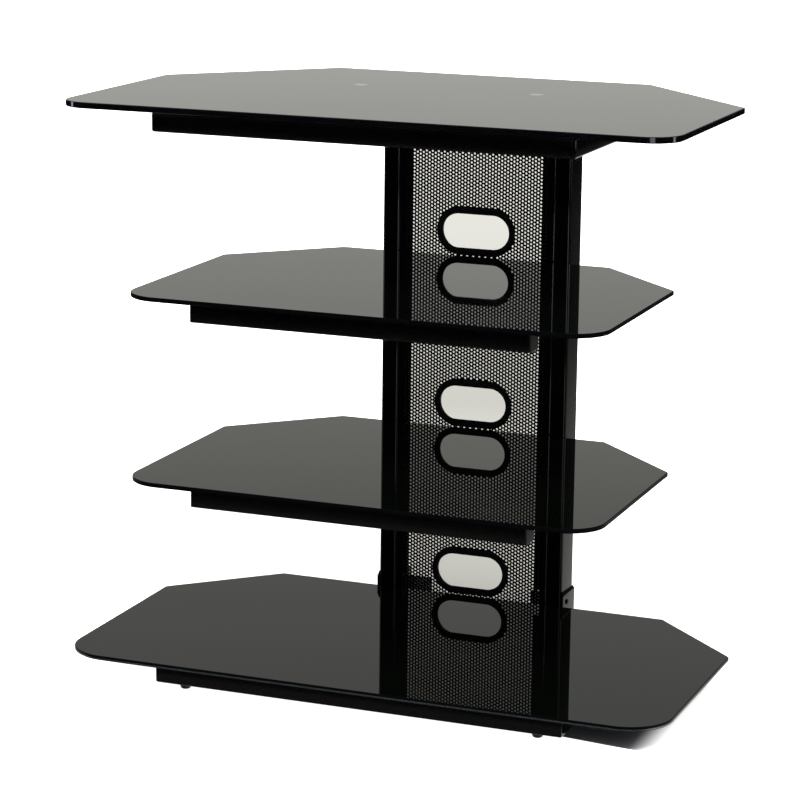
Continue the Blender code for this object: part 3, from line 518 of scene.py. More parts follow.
def rounded(corners, steps=ARC_STEPS):
    """A flat outline with each corner (x, y, radius) replaced by an arc of so many steps."""
    outline = []
    for i, (x, y, radius) in enumerate(corners):
        corner = Vector((x, y))
        back = (Vector(corners[i - 1][:2]) - corner).normalized()
        on = (Vector(corners[(i + 1) % len(corners)][:2]) - corner).normalized()
        half = back.angle(on) / 2
        centre = corner + (back + on).normalized() * radius / sin(half)
        start = corner + back * radius / tan(half) - centre
        finish = corner + on * radius / tan(half) - centre
        first = atan2(start.y, start.x)
        sweep = (atan2(finish.y, finish.x) - first + pi) % (2 * pi) - pi
        for step in range(steps + 1):
            angle = first + sweep * step / steps
            outline.append((centre.x + radius * cos(angle), centre.y + radius * sin(angle)))
    return outline


def rounded_box(x0, y0, x1, y1, radius, steps):
    """A rectangle with equally rounded corners."""
    return rounded([(x0, y0, radius), (x1, y0, radius), (x1, y1, radius), (x0, y1, radius)], steps)


def moved_in(outline, distance):
    """The outline shifted inwards, each point square to its neighbours' line."""
    moved = []
    for i, (x, y) in enumerate(outline):
        before, after = outline[i - 1], outline[(i + 1) % len(outline)]
        one = Vector((x - before[0], y - before[1])).normalized()
        two = Vector((after[0] - x, after[1] - y)).normalized()
        inward = Vector((-one.y - two.y, one.x + two.x)).normalized()
        stretch = inward.dot(Vector((-one.y, one.x)))
        moved.append((x + inward.x * distance / stretch, y + inward.y * distance / stretch))
    return moved


def broken(outline, by, low, high, turn=1):
    """An outline's stations from low to high, its end edges broken. Turn is -1 if it is clockwise."""
    eased = moved_in(outline, by * turn)
    return [(eased, low), (outline, low + by), (outline, high - by), (eased, high)]


def quarter(steps):
    """Sine and cosine at even steps through a right angle."""
    return [(sin(pi / 2 * k / steps), cos(pi / 2 * k / steps)) for k in range(steps + 1)]


print("a 40 mm corner in 4 steps:", len(rounded([(0, 0, 0.04), (1, 0, 0.04), (1, 1, 0.04)], 4)),
      "points")

# %% Set rings in space and skin them
def rings_along(axis, stations, middle=(0, 0, 0)):
    """Flat outlines set square to an axis round a middle, each at its own place along the axis."""
    a, b = [i for i in range(3) if i != axis]
    rings = []
    for outline, along in stations:
        ring = []
        for u, v in outline:
            point = [0, 0, 0]
            point[axis], point[a], point[b] = along, middle[a] + u, middle[b] + v
            ring.append(point)
        rings.append(ring)
    return rings


def skin(bm, rings, closed=False, cap_finishes=(0, 0)):
    """Join a row of equal rings with quads. Close the row, or cap its two ends."""
    rows = [[bm.verts.new(point) for point in ring] for ring in rings]
    made = []
    for one, two in zip(rows, rows[1:] + rows[:1] if closed else rows[1:]):
        for i in range(len(one)):
            j = (i + 1) % len(one)
            made.append(bm.faces.new((one[i], one[j], two[j], two[i])))
    if not closed:
        for ring, finish in zip((rows[0][::-1], rows[-1]), cap_finishes):
            bm.faces.new(ring).material_index = finish
    return made


trial, ring = bmesh.new(), rounded_box(0, 0, 1, 1, 0.1, 1)
sides = skin(trial, rings_along(2, [(ring, z) for z in range(3)]))
print("a skin over 3 rings of", len(ring), "points has", len(sides), "sides")
trial.free()

# %% [markdown]
# ## From mesh to piece
#
# Each finished mesh becomes an object that rides on a body of the CAD model and hides the CAD
# solids that it stands for. Shading is smooth except across real edges, found by their angle.

# %% Turn a mesh into a piece
EDGE_ANGLE = radians(32)


def make_piece(name, form, finishes, nodes=(), body="stand"):
    """An object from a BMesh or a mesh, riding on its body and standing for its CAD nodes."""
    if isinstance(form, bmesh.types.BMesh):
        bmesh.ops.recalc_face_normals(form, faces=form.faces)
        mesh = bpy.data.meshes.new(name)
        form.to_mesh(mesh)
        form.free()
    else:
        mesh = form
    for finish in finishes:
        mesh.materials.append(finish)
    mesh.shade_smooth()
    mesh.set_sharp_from_angle(angle=EDGE_ANGLE)
    obj = bpy.data.objects.new(name, mesh)
    bpy.context.collection.objects.link(obj)
    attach(obj, body)
    if nodes:
        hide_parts(*nodes)
    return obj


def skinned_piece(name, rings, finish, nodes=(), body="stand", closed=False):
    """A piece of one finish from one row of rings."""
    bm = bmesh.new()
    skin(bm, rings, closed)
    return make_piece(name, bm, [finish], nodes, body)


def size_in_mm(obj):
    """The piece's width, depth and height, for the reader."""
    return [round(1000 * v, 1) for v in obj.dimensions]


print("edges sharper than", round(EDGE_ANGLE * 180 / pi), "degrees stay crisp")

# %% [markdown]
# ## Four panes of glass
#
# In plan a pane has two round front corners, straight sides, and a rear cut back at an angle to the
# width of the column. The outline is written once from the pane's own CAD box and four sizes, and
# raised in five rings: the printed back, the lower arris, the rim in two halves and the upper
# arris. A bevel modifier would round the arris, but real ones are flat, and flat is what keeps the
# edge crisp.

# %% Cut the panes
SIDE_LENGTH = 0.320      # front edge to the corner where the side is cut back
REAR_EASE = 0.004
ARRIS = 0.0008
RIM_SPLIT = 0.46         # share of a pane's thickness where the rim's lower finish ends
PANE_STEPS = 28          # round a front corner
FACE, UPPER_RIM, LOWER_RIM, ARRIS_FACE, BACK = range(5)      # places in a pane's finishes
#           CAD node,            width at the rear, front corner radius, finishes
PANES = (("top_glass", 0.445, 0.040, TOP_FINISHES),
         ("upper_shelf_glass", 0.382, 0.050, SHELF_FINISHES),
         ("lower_shelf_glass", 0.382, 0.050, SHELF_FINISHES),
         ("base_glass", 0.560, 0.060, BASE_FINISHES))


def pane(node, rear_width, corner, finishes):
    """One pane, cut to its CAD solid's box."""
    low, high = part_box(node)
    wide, rear, turn_y = high.x, rear_width / 2, low.y + SIDE_LENGTH
    plan = rounded([(-wide, low.y, corner), (wide, low.y, corner), (wide, turn_y, REAR_EASE),
                    (rear, high.y, REAR_EASE), (-rear, high.y, REAR_EASE),
                    (-wide, turn_y, REAR_EASE)], PANE_STEPS)
    split = low.z + RIM_SPLIT * (high.z - low.z)
    stations = broken(plan, ARRIS, low.z, high.z)
    stations.insert(2, (plan, split))
    bm = bmesh.new()
    for face in skin(bm, rings_along(2, stations), cap_finishes=(BACK, FACE)):
        z = face.calc_center_median().z
        upright = low.z + ARRIS < z < high.z - ARRIS
        half = UPPER_RIM if z > split else LOWER_RIM
        face.material_index = half if upright else ARRIS_FACE
    return make_piece(node + "_pane", bm, finishes, [node])


for row in PANES:
    print(row[0], size_in_mm(pane(*row)), "mm")

# %% [markdown]
# ## Welded frames of square tube
#
# Under the top and under the base lies a frame of four rails, mitred, welded and ground at the
# corners. After powder coating it is one piece, so it is drawn as one: a tube's profile carried
# once round a rounded rectangle. Cutting and joining four rails with booleans would leave knife
# edges at the mitres. Here each corner gets the small radius that grinding leaves, and the coat
# runs over it unbroken.

# %% Profile of a tube, and a frame made from it
TUBE_CORNER = 0.003
GROUND_CORNER = 0.0013       # radius left where the welded mitre is ground


def tube_profile(width, height, steps=ARC_STEPS):
    """A tube's outer outline round its own centre."""
    return rounded_box(-width / 2, -height / 2, width / 2, height / 2, TUBE_CORNER, steps)


def welded_frame(name, rails):
    """Four rails joined round their corners. The rails are front, rear, left and right."""
    front_low, front_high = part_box(rails[0])
    wide, near, far = front_high.x, front_low.y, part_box(rails[1])[1].y
    width, middle_z = front_high.y - front_low.y, (front_low.z + front_high.z) / 2
    stations = []
    for u, v in tube_profile(width, front_high.z - front_low.z):
        depth = width / 2 + u
        stations.append((rounded_box(depth - wide, near + depth, wide - depth, far - depth,
                                     GROUND_CORNER, ARC_STEPS), middle_z + v))
    return skinned_piece(name, rings_along(2, stations), powder_coat, rails,
                         closed=True)


for level in ("top", "base"):
    rails = [f"{level}_{side}_rail" for side in ("front", "rear", "left", "right")]
    print(level, "frame", size_in_mm(welded_frame(level + "_frame", rails)), "mm")

# %% [markdown]
# ## Tubes along one axis
#
# Posts, crossbars and arms are straight lengths of tube. Each is a skin of six rings: out along
# the outside, round the end and back along the bore, so its wall is real where an end stays open.
# Every size is read from the CAD solid's box, so a tube can never end up beside its own node.

# %% Straight tubes
POST_CORNER, POST_WALL = 0.004, 0.002
RAIL_WALL = 0.0015
END_BREAK = 0.0004           # the saw's burr filed off


def straight_tube(node, axis, corner, wall):
    """A hollow length along axis 0, 1 or 2, sized by its CAD solid's box."""
    low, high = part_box(node)
    w, h = [(high[i] - low[i]) / 2 for i in range(3) if i != axis]
    outer = rounded_box(-w, -h, w, h, corner, FINE_STEPS)
    bore = moved_in(outer, wall)
    stations = broken(outer, END_BREAK, low[axis], high[axis])
    stations += [(bore, high[axis]), (bore, low[axis])]
    return skinned_piece(node + "_tube", rings_along(axis, stations, (low + high) / 2),
                         powder_coat, [node], closed=True)


for side in ("left", "right"):
    print(side, "post", size_in_mm(straight_tube(side + "_post", 2, POST_CORNER, POST_WALL)), "mm")
    for level in ("top", "upper", "lower"):
        straight_tube(f"{level}_{side}_arm", 1, TUBE_CORNER, RAIL_WALL)
for level in ("upper", "lower"):
    bar = straight_tube(level + "_crossbar", 0, TUBE_CORNER, RAIL_WALL)
    print(level, "crossbar", size_in_mm(bar), "mm")

# %% [markdown]
# ## Weld beads
#
# The arms meet the frame and the crossbars in a fillet weld, whose surface is a row of small
# overlapping ripples. A bead is a thin round section carried along the joint, with its radius
# swelling and shrinking every couple of millimetres. Displacing a plain tube with a texture would
# need far more faces.

# %% A rippled bead along a closed path
RIPPLE_MM = 2.2
BEAD, BEAD_SIDES = 0.0016, 8
BEAD_STEP = 0.0006           # the path's points lie this close
BEAD_INSIDE = 0.0006         # and this far inside the tube's outline
BEAD_RIPPLE = 0.12           # share of its radius by which the bead swells and shrinks


def bead_rings(path):
    """Round sections along a closed path, swelling and shrinking with each ripple."""
    rings, run = [], 0.0
    for i, point in enumerate(path):
        before, after = path[i - 1], path[(i + 1) % len(path)]
        along = (after - before).normalized()
        across = along.cross(Vector((0, 1, 0))).normalized()
        out = along.cross(across)
        run += (point - before).length if i else 0
        swell = BEAD * (1 - BEAD_RIPPLE + BEAD_RIPPLE * cos(2 * pi * 1000 * run / RIPPLE_MM))
        turns = [2 * pi * k / BEAD_SIDES for k in range(BEAD_SIDES)]
        rings.append([point + across * swell * cos(turn) + out * swell * sin(turn)
                      for turn in turns])
    return rings


def dense(outline, step):
    """The outline with points added so that none lie further apart than step."""
    points = []
    for i, (x, y) in enumerate(outline):
        nx, ny = outline[(i + 1) % len(outline)]
        count = max(1, ceil(sqrt((nx - x) ** 2 + (ny - y) ** 2) / step))
        points += [(x + (nx - x) * k / count, y + (ny - y) * k / count) for k in range(count)]
    return points


def arm_weld(node):
    """A bead round the front end of an arm."""
    low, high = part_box(node)
    outline = moved_in(dense(tube_profile(high.x - low.x, high.z - low.z), BEAD_STEP), BEAD_INSIDE)
    path = rings_along(1, [(outline, low.y)], (low + high) / 2)[0]
    return skinned_piece(node + "_front_weld", bead_rings([Vector(point) for point in path]),
                         weld_coat, closed=True)


for side in ("left", "right"):
    for level in ("top", "upper", "lower"):
        weld = arm_weld(f"{level}_{side}_arm")
print("last bead has", len(weld.data.vertices), "points")

# %% [markdown]
# ## Plugs in the crossbars
#
# A moulded plug closes each end of a crossbar. Its face is the size of the tube, softly rounded at
# the rim and very slightly domed, and a hollow spigot grips the bore. It is one closed skin of
# rings that shrink and step inwards, the same idea as the CAD solid with finer corners.

# %% Mould the plugs
PLUG_FACE, PLUG_ROUND, PLUG_REACH = 0.002, 0.0009, 0.010
PLUG_DOME = ((0.0026, 0.0), (0.0016, 0.00008))   # how far in from the rim, and how deep
DOME_RIM = 0.00012                               # depth of the dome where the rounding starts
SPIGOT_CLEAR, SPIGOT_WALL = 0.0003, 0.0015


def plug(node, direction):
    """A plug whose face looks along +X or -X."""
    low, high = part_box(node)
    face_x = (high.x, low.x)[direction < 0]
    outline = tube_profile(high.y - low.y, high.z - low.z, FINE_STEPS)
    bore = moved_in(outline, RAIL_WALL + SPIGOT_CLEAR)
    well = moved_in(outline, RAIL_WALL + SPIGOT_CLEAR + SPIGOT_WALL)
    stations = [(moved_in(outline, inset), depth) for inset, depth in PLUG_DOME]
    stations += [(moved_in(outline, PLUG_ROUND * (1 - s)),
                  DOME_RIM + (PLUG_ROUND - DOME_RIM) * (1 - c)) for s, c in quarter(EDGE_STEPS)]
    stations += [(outline, PLUG_FACE), (bore, PLUG_FACE), (bore, PLUG_REACH),
                 (well, PLUG_REACH), (well, PLUG_FACE)]
    stations = [(ring, face_x - direction * depth) for ring, depth in stations]
    return skinned_piece(node + "_moulding", rings_along(0, stations, (low + high) / 2),
                         moulded_black, [node])


for level in ("upper", "lower"):
    for side, direction in (("left", -1), ("right", 1)):
        made = plug(f"{level}_{side}_plug", direction)
print("plug", size_in_mm(made), "mm")

# %% [markdown]
# ## The perforated back
#
# The sheet between the posts is punched with 3 mm holes, 5 mm apart, in upright columns where every
# second one is staggered by half a step. A picture of holes, or a see-through material, would look
# flat from the side and would cast no true shadow, so the holes are real. The pattern is a
# honeycomb: each hole sits in a six-sided cell, and a cell's corners are shared with its
# neighbours. The cells tile exactly, so the plate is built one cell at a time. What lies between
# the outermost cells and the sheet's edge, or an oval opening, is filled with flat faces. The
# sheet is drawn in three lengths that lock along the cells, because each then stays a mesh of
# modest size. No seam shows, since the lengths share their edge.

# %% Which cells hold a hole
PITCH = 0.005
HOLE_RADIUS, HOLE_STEPS = 0.0015, 12
COLUMN_STEP = PITCH * sqrt(3) / 2
BORDER = 0.0096              # sheet's edge to the middle of the first holes
FIRST_ROW = 0.0079           # and at its foot
OPENING_MARGIN = 0.0033      # the sheet is cut this much wider than the cable opening
CELL_CLEAR = 0.7             # a cell's middle clears that cut by this share of the pitch
LIP_CLEAR = 0.0070           # holes nearer to the opening than this would lie under the lip
RAGGED_REACH = 0.014         # the ragged edge of the cells round an opening is this near to it
GROMMET_LIP = 0.008
LENGTHS = 3
ASIDE = 0.0006               # the pattern sits this far off the sheet's middle
JUST_FITS = 0.01             # share of a pitch that may be missing from the last row

sheet_low, sheet_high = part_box("back_panel")
grommets = ["lower_cable_grommet", "middle_cable_grommet", "upper_cable_grommet"]
opening_levels = [sum(corner.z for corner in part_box(node)) / 2 for node in grommets]
ring_low, ring_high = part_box(grommets[0])
opening_width = ring_high.x - ring_low.x - 2 * GROMMET_LIP
opening_height = ring_high.z - ring_low.z - 2 * GROMMET_LIP
opening_straight = (opening_width - opening_height) / 2


def from_opening(x, z):
    """How far a point lies outside the nearest cable opening."""
    side = max(0.0, abs(x) - opening_straight)
    return min(sqrt(side * side + (z - level) ** 2) for level in opening_levels) - opening_height / 2


def hole_middle(c, r):
    """The middle of the hole in one column and row."""
    return c * COLUMN_STEP + ASIDE, sheet_low.z + FIRST_ROW + (r + 0.5 * (c % 2)) * PITCH


columns = int((sheet_high.x - BORDER) / COLUMN_STEP + JUST_FITS)
rows = int((sheet_high.z - BORDER - sheet_low.z - FIRST_ROW) / PITCH + JUST_FITS)
cells = {}
for c in range(-columns, columns + 1):
    for r in range(rows + 1 - c % 2):
        clear = from_opening(*hole_middle(c, r))
        if clear > OPENING_MARGIN + CELL_CLEAR * PITCH:
            cells[c, r] = clear > LIP_CLEAR
print("openings", round(1000 * opening_width, 1), "x", round(1000 * opening_height, 1), "mm;",
      sum(cells.values()), "holes in", 2 * columns + 1, "columns")

# %% [markdown]
# ## Punching the sheet
#
# The front face is laid out flat as points and faces: the cells, the plain border, and a fill round
# each opening. Blender's own triangle fill makes that last one, since the cells leave a ragged
# outline there. The back is the same layout with its faces turned over, and every edge that has a
# face on one side only becomes a wall through the sheet.

# %% Lay out the cells
CELL_REACH = PITCH / sqrt(3)
MARKS_PER_METRE = 1e5
flat_points = [[] for _ in range(LENGTHS)]
flat_faces = [[] for _ in range(LENGTHS)]
found = [{} for _ in range(LENGTHS)]


def mark(x, z):
    """A place as whole hundredths of a millimetre, so that places that meet count as one."""
    return round(x * MARKS_PER_METRE), round(z * MARKS_PER_METRE)


def spot(length, x, z):
    """The number of the point at a place in one length of the sheet, made when first asked for."""
    if mark(x, z) not in found[length]:
        found[length][mark(x, z)] = len(flat_points[length])
        flat_points[length].append((x, z))
    return found[length][mark(x, z)]


def length_of(row):
    """Which length of the sheet a row of cells belongs to."""
    return min(LENGTHS - 1, LENGTHS * row // (rows + 1))


def add_face(length, *places):
    """A flat face through places given as (x, z)."""
    flat_faces[length].append([spot(length, x, z) for x, z in places])


edges_of_cells = {}
for (c, r), holed in cells.items():
    x, z = hole_middle(c, r)
    length = length_of(r)
    corners = [(x + CELL_REACH * cos(pi / 3 * k), z + CELL_REACH * sin(pi / 3 * k))
               for k in range(6)]
    for one, two in zip(corners, corners[1:] + corners[:1]):
        ends = tuple(sorted((mark(*one), mark(*two))))
        edges_of_cells.setdefault(ends, []).append((one, two))
    if not holed:
        add_face(length, *corners)
        continue
    ring = [(x + HOLE_RADIUS * cos(2 * pi * k / HOLE_STEPS),
             z + HOLE_RADIUS * sin(2 * pi * k / HOLE_STEPS)) for k in range(HOLE_STEPS)]
    for k in range(6):
        one, two = corners[k], corners[(k + 1) % 6]
        near, middle, far = ring[2 * k], ring[2 * k + 1], ring[(2 * k + 2) % HOLE_STEPS]
        for places in ((one, middle, near), (one, two, middle), (two, far, middle)):
            add_face(length, *places)
print("cells laid out:", [len(faces) for faces in flat_faces], "faces")

# %% Fill the border
half = CELL_REACH / 2
for side in (-1, 1):
    for r in range(rows + 1 - columns % 2):
        x, z = hole_middle(side * columns, r)
        for low_x, low_z, high_x, high_z in ((half, z - PITCH / 2, CELL_REACH, z),
                                             (CELL_REACH, z, half, z + PITCH / 2)):
            places = [(x + side * low_x, low_z), (side * sheet_high.x, low_z),
                      (side * sheet_high.x, high_z), (x + side * high_x, high_z)]
            add_face(length_of(r), *places[::side])
for edge_z, direction, last_row in ((sheet_low.z, -1, 0), (sheet_high.z, 1, rows)):
    outline = []
    for c in range(-columns, columns + 1):
        x, z = hole_middle(c, last_row - (c % 2 if last_row else 0))
        outline += [(x - half, z + direction * PITCH / 2), (x + half, z + direction * PITCH / 2)]
    outline = [(sheet_low.x, outline[0][1])] + outline + [(sheet_high.x, outline[-1][1])]
    for one, two in zip(outline, outline[1:]):
        places = [(one[0], edge_z), (two[0], edge_z), two, one]
        add_face(length_of(last_row), *places[::-direction])
print("with the border:", [len(faces) for faces in flat_faces], "faces")

# %% Fill the surrounds of the openings
OVAL_STEPS = 24              # round each end of the cut


def oval(centre_z, margin, steps=OVAL_STEPS, longer=0.0):
    """The cable opening's outline, grown by a margin, as points (x, z)."""
    radius = opening_height / 2 + margin
    straight = opening_straight + longer
    points = []
    for end in (1, -1):
        for step in range(steps + 1):
            angle = end * -pi / 2 + pi * step / steps
            points.append((end * straight + radius * cos(angle), centre_z + radius * sin(angle)))
    return points


def surround_edges(centre_z):
    """The cut round an opening, and the ragged edge of the cells about it."""
    cut = oval(centre_z, OPENING_MARGIN)
    edges = list(zip(cut, cut[1:] + cut[:1]))
    for sides in edges_of_cells.values():
        one, two = sides[0]
        middle_x, middle_z = (one[0] + two[0]) / 2, (one[1] + two[1]) / 2
        near = abs(middle_z - centre_z) < opening_height
        if len(sides) == 1 and near and from_opening(middle_x, middle_z) < RAGGED_REACH:
            edges.append((one, two))
    return edges


for centre_z in opening_levels:
    surround, known, edges = bmesh.new(), {}, []
    for ends in surround_edges(centre_z):
        for x, z in ends:
            if mark(x, z) not in known:
                known[mark(x, z)] = surround.verts.new((x, 0, z))
        edges.append(surround.edges.new([known[mark(x, z)] for x, z in ends]))
    filled = bmesh.ops.triangle_fill(surround, use_beauty=True, edges=edges, normal=(0, -1, 0))
    length = length_of(int((centre_z - sheet_low.z - FIRST_ROW) / PITCH))
    for face in filled["geom"]:
        if isinstance(face, bmesh.types.BMFace):
            places = [(v.co.x, v.co.z) for v in face.verts]
            (ax, az), (bx, bz), (cx, cz) = places[:3]
            turned = (bx - ax) * (cz - az) - (bz - az) * (cx - ax) < 0
            add_face(length, *(places[::-1] if turned else places))
    surround.free()
print("with the surrounds:", [len(faces) for faces in flat_faces], "faces")

# %% Give each length its thickness
for length, (points, faces) in enumerate(zip(flat_points, flat_faces)):
    count = len(points)
    solid = [(x, sheet_low.y, z) for x, z in points] + [(x, sheet_high.y, z) for x, z in points]
    runs = {(one, two) for face in faces for one, two in zip(face, face[1:] + face[:1])}
    walls = [(two, one, one + count, two + count) for one, two in runs if (two, one) not in runs]
    back = [[count + i for i in face[::-1]] for face in faces]
    mesh = bpy.data.meshes.new(f"perforated_sheet_{length + 1}")
    mesh.from_pydata(solid, [], faces + back + sorted(walls))
    sheet = make_piece(mesh.name, mesh, [sheet_coat], ["back_panel"])
    print(sheet.name, size_in_mm(sheet), "mm,", len(mesh.polygons), "faces,", len(walls), "walls")

# %% [markdown]
# ## Oval cable rings
#
# Each opening in the sheet is lined by a snap-in plastic ring: a rounded lip in front, a sleeve
# through the sheet and a small catch behind it. A bevelled curve could make a simple ring, but not
# this stepped one, so the ring's section is drawn as a list of steps and carried round the oval.

# %% Mould the cable rings
SLEEVE, CATCH = 0.003, 0.0012
LIP_ROUND = 0.0008
LIP_OVER = 0.0023            # the lip's mouth is this much lower than the sleeve's far end
LIP_LONGER = 0.8             # and its straight part longer by this share of that
GAP = 0.0003                 # between pieces that meet, and at the finest broken edges
LIP_EASE = 0.0002
LIP_STEPS, RING_STEPS = 5, 40        # round the lip's section, and round each end of the oval


def cable_ring(node):
    """One ring, its section carried round the opening."""
    low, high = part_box(node)
    lip, grip = sheet_low.y - GAP - low.y, sheet_high.y + GAP - low.y
    tail = high.y - low.y
    section = [(LIP_ROUND * (1 - c) - LIP_OVER, LIP_ROUND * (1 - s)) for s, c in quarter(LIP_STEPS)]
    section += [(GROMMET_LIP - LIP_ROUND * (1 - s), LIP_ROUND * (1 - c))
                for s, c in quarter(LIP_STEPS)]
    section += [(GROMMET_LIP, lip - LIP_EASE), (GROMMET_LIP - LIP_EASE, lip), (SLEEVE, lip),
                (SLEEVE, grip), (SLEEVE + CATCH, grip), (SLEEVE, tail), (GAP, tail), (0, tail - GAP)]
    stations = [(oval((low.z + high.z) / 2, offset, RING_STEPS, max(0.0, -offset) * LIP_LONGER),
                 low.y + depth) for offset, depth in section]
    return skinned_piece(node + "_ring", rings_along(1, stations), moulded_black,
                         [node], closed=True)


for node in reversed(grommets):
    print(node, size_in_mm(cable_ring(node)), "mm")

# %% [markdown]
# ## Stiffening angles
#
# Behind each long edge of the sheet runs a folded angle that keeps it flat. Folding leaves a round
# bend, larger outside than inside by the thickness of the steel, and that is what tells folded
# sheet from a solid bar. Its section is written corner by corner with those two radii.

# %% Fold the angles
ANGLE_WALL = 0.002
BEND_INSIDE = 0.0008
ANGLE_BREAK = 0.0002

for side, direction in (("left", -1), ("right", 1)):
    low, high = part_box(side + "_panel_rail")
    post_side, far_side = (high.x, low.x)[::direction]
    inside_x, inside_y = post_side - direction * ANGLE_WALL, low.y + ANGLE_WALL
    section = rounded([(post_side, low.y, BEND_INSIDE + ANGLE_WALL), (post_side, high.y, GAP),
                       (inside_x, high.y, GAP), (inside_x, inside_y, BEND_INSIDE),
                       (far_side, inside_y, GAP), (far_side, low.y, GAP)])
    stations = broken(section, ANGLE_BREAK, low.z, high.z, direction)
    folded = skinned_piece(side + "_stiffening_angle", rings_along(2, stations), powder_coat,
                           [side + "_panel_rail"])
print("stiffening angle", size_in_mm(folded), "mm")

# %% [markdown]
# ## Shoes at the feet of the posts
#
# Each post stands in a shoe bent from plate: three walls round the post, a floor, and a tab that
# reaches inwards behind the sheet. The walls are one folded outline raised in rings, with bends at
# the corners.

# %% Fold the shoes
SHOE_WALL = 0.0025
SHOE_ABOVE_GLASS, TAB_ABOVE_GLASS = 0.0145, 0.003
SHOE_BEND, SHOE_BEND_INSIDE = 0.0033, 0.0008
PLATE_BREAK = 0.00025
TAB_CORNER, FLOOR_CORNER = 0.0012, 0.0006
SEAT = 0.00001               # keeps faces that lie on each other from sharing a plane
TAB_LAP = 0.0004             # the tab runs this far into the wall
FLOOR_INSET = (0.001, 0.0002)            # floor's sides, and front, inside the walls'


def shoe_plan(side, direction):
    """The shoe's CAD corners, and its outer and inner X, wall top and the sheet's back."""
    low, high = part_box(side + "_post_shoe")
    post_inner, post_outer = [corner.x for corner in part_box(side + "_post")][::direction]
    reach = direction * (GAP + SHOE_WALL)
    return (low, high, post_outer + reach, post_inner - reach,
            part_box("base_glass")[1].z + SHOE_ABOVE_GLASS, sheet_high.y + GAP)


def shoe(side, direction):
    """The walls, floor and tab of one shoe."""
    low, high, outer_x, inner_x, wall_top, behind_sheet = shoe_plan(side, direction)
    across, wall_y = direction * SHOE_WALL, high.y - SHOE_WALL
    plan = rounded([(outer_x, low.y, GAP), (outer_x, high.y, SHOE_BEND),
                    (inner_x, high.y, SHOE_BEND), (inner_x, behind_sheet, GAP),
                    (inner_x + across, behind_sheet, GAP),
                    (inner_x + across, wall_y, SHOE_BEND_INSIDE),
                    (outer_x - across, wall_y, SHOE_BEND_INSIDE), (outer_x - across, low.y, GAP)])
    bm = bmesh.new()
    skin(bm, rings_along(2, broken(plan, GAP, low.z, wall_top, direction)))

    def plate(x0, x1, y0, y1, top, radius):
        """A plate with rounded free corners from the shoe's foot to its top, from the front."""
        face = rounded_box(min(x0, x1), low.z + SEAT, max(x0, x1), top, radius, EDGE_STEPS)
        skin(bm, rings_along(1, broken(face, PLATE_BREAK, y0, y1)))

    inset_x, inset_y = direction * FLOOR_INSET[0], FLOOR_INSET[1]
    plate((low.x, high.x)[direction < 0], inner_x + direction * TAB_LAP, wall_y, high.y - SEAT,
          wall_top - SHOE_ABOVE_GLASS + TAB_ABOVE_GLASS, TAB_CORNER)
    plate(inner_x + inset_x, outer_x - inset_x, low.y + inset_y, high.y - FLOOR_INSET[0],
          low.z + SHOE_WALL, FLOOR_CORNER)
    return make_piece(side + "_shoe", bm, [powder_coat], [side + "_post_shoe"])


print("a shoe's walls end", round(1000 * SHOE_ABOVE_GLASS, 1), "mm above the glass")

# %% [markdown]
# ## Weld along the shoes
#
# A weld runs along the top of the walls, between them and the post. It is highest in front, where
# the welder began, and lower behind. It is a flat fillet with the ripples of its run: a small wedge
# carried along the three walls, whose height follows the distance run.

# %% Weld the shoes
WELD_RISE = 0.0062
WELD_DROP = 0.5              # share of its height that the weld loses towards the rear
WELD_BULGE, WELD_INSET = 0.0002, 0.0002
WELD_START = 0.0012          # from the free edges of the walls
WELD_STEP, WELD_FAN = 0.0005, 8          # length of a step of the run, and steps across the wedge
WELD_TAPER, WELD_END = 0.12, 0.4         # share of the last wall over which it sinks, and to what
WELD_ROOT, WELD_BACK = 0.0008, 0.8       # depth of its root, and share of its height at the post
SHOE_RIPPLE_MM, RIPPLE_SHARE = 2.4, 0.05


def shoe_weld(side, direction):
    """The wedge of weld along one shoe's three walls."""
    low, high, outer_x, inner_x, wall_top, behind_sheet = shoe_plan(side, direction)
    across, wall_y = direction * SHOE_WALL, high.y - SHOE_WALL
    line = [Vector((outer_x - across, low.y + WELD_START)), Vector((outer_x - across, wall_y)),
            Vector((inner_x + across, wall_y)), Vector((inner_x + across, behind_sheet + WELD_START))]
    rings, run = [], 0.0
    for leg, flat in enumerate((Vector((direction, 0)), Vector((0, 1)), Vector((-direction, 0)))):
        count = max(2, ceil((line[leg + 1] - line[leg]).length / WELD_STEP))
        for k in range(count + (leg == 2)):
            share = k / count
            foot = line[leg].lerp(line[leg + 1], share)
            run += WELD_STEP
            swell = 1 - RIPPLE_SHARE + RIPPLE_SHARE * cos(2 * pi * 1000 * run / SHOE_RIPPLE_MM)
            tall = WELD_RISE * swell * (1 - WELD_DROP * min(1.0, leg + share))
            tall *= min(1.0, WELD_END + (3 - leg - share) / WELD_TAPER)
            inner = foot - flat * GAP
            ring = [(*inner, wall_top - WELD_ROOT)]
            for step in range(WELD_FAN + 1):
                left = 1 - step / WELD_FAN
                out = foot + flat * (SHOE_WALL - WELD_INSET) * left * swell
                up_by = tall * (1 - left) + WELD_BULGE * sin(pi * left)
                ring.append((*out, wall_top - GAP + up_by))
            rings.append(ring + [(*inner, wall_top + tall * WELD_BACK)])
    return skinned_piece(side + "_shoe_weld", rings, weld_coat)


for side, direction in (("left", -1), ("right", 1)):
    made = shoe(side, direction)
    weld = shoe_weld(side, direction)
print("shoe", size_in_mm(made), "mm, its weld has", len(weld.data.vertices), "points")

# %% [markdown]
# ## Bolts and screws
#
# The arms are held by socket head bolts through the back of the posts, and a small socket screw
# pins each shoe. A fastener is turned, so its rings are circles, but the key's socket is a hexagon.
# Because every ring has the same number of points, circles and hexagons can follow each other in
# one skin, and no boolean is needed.

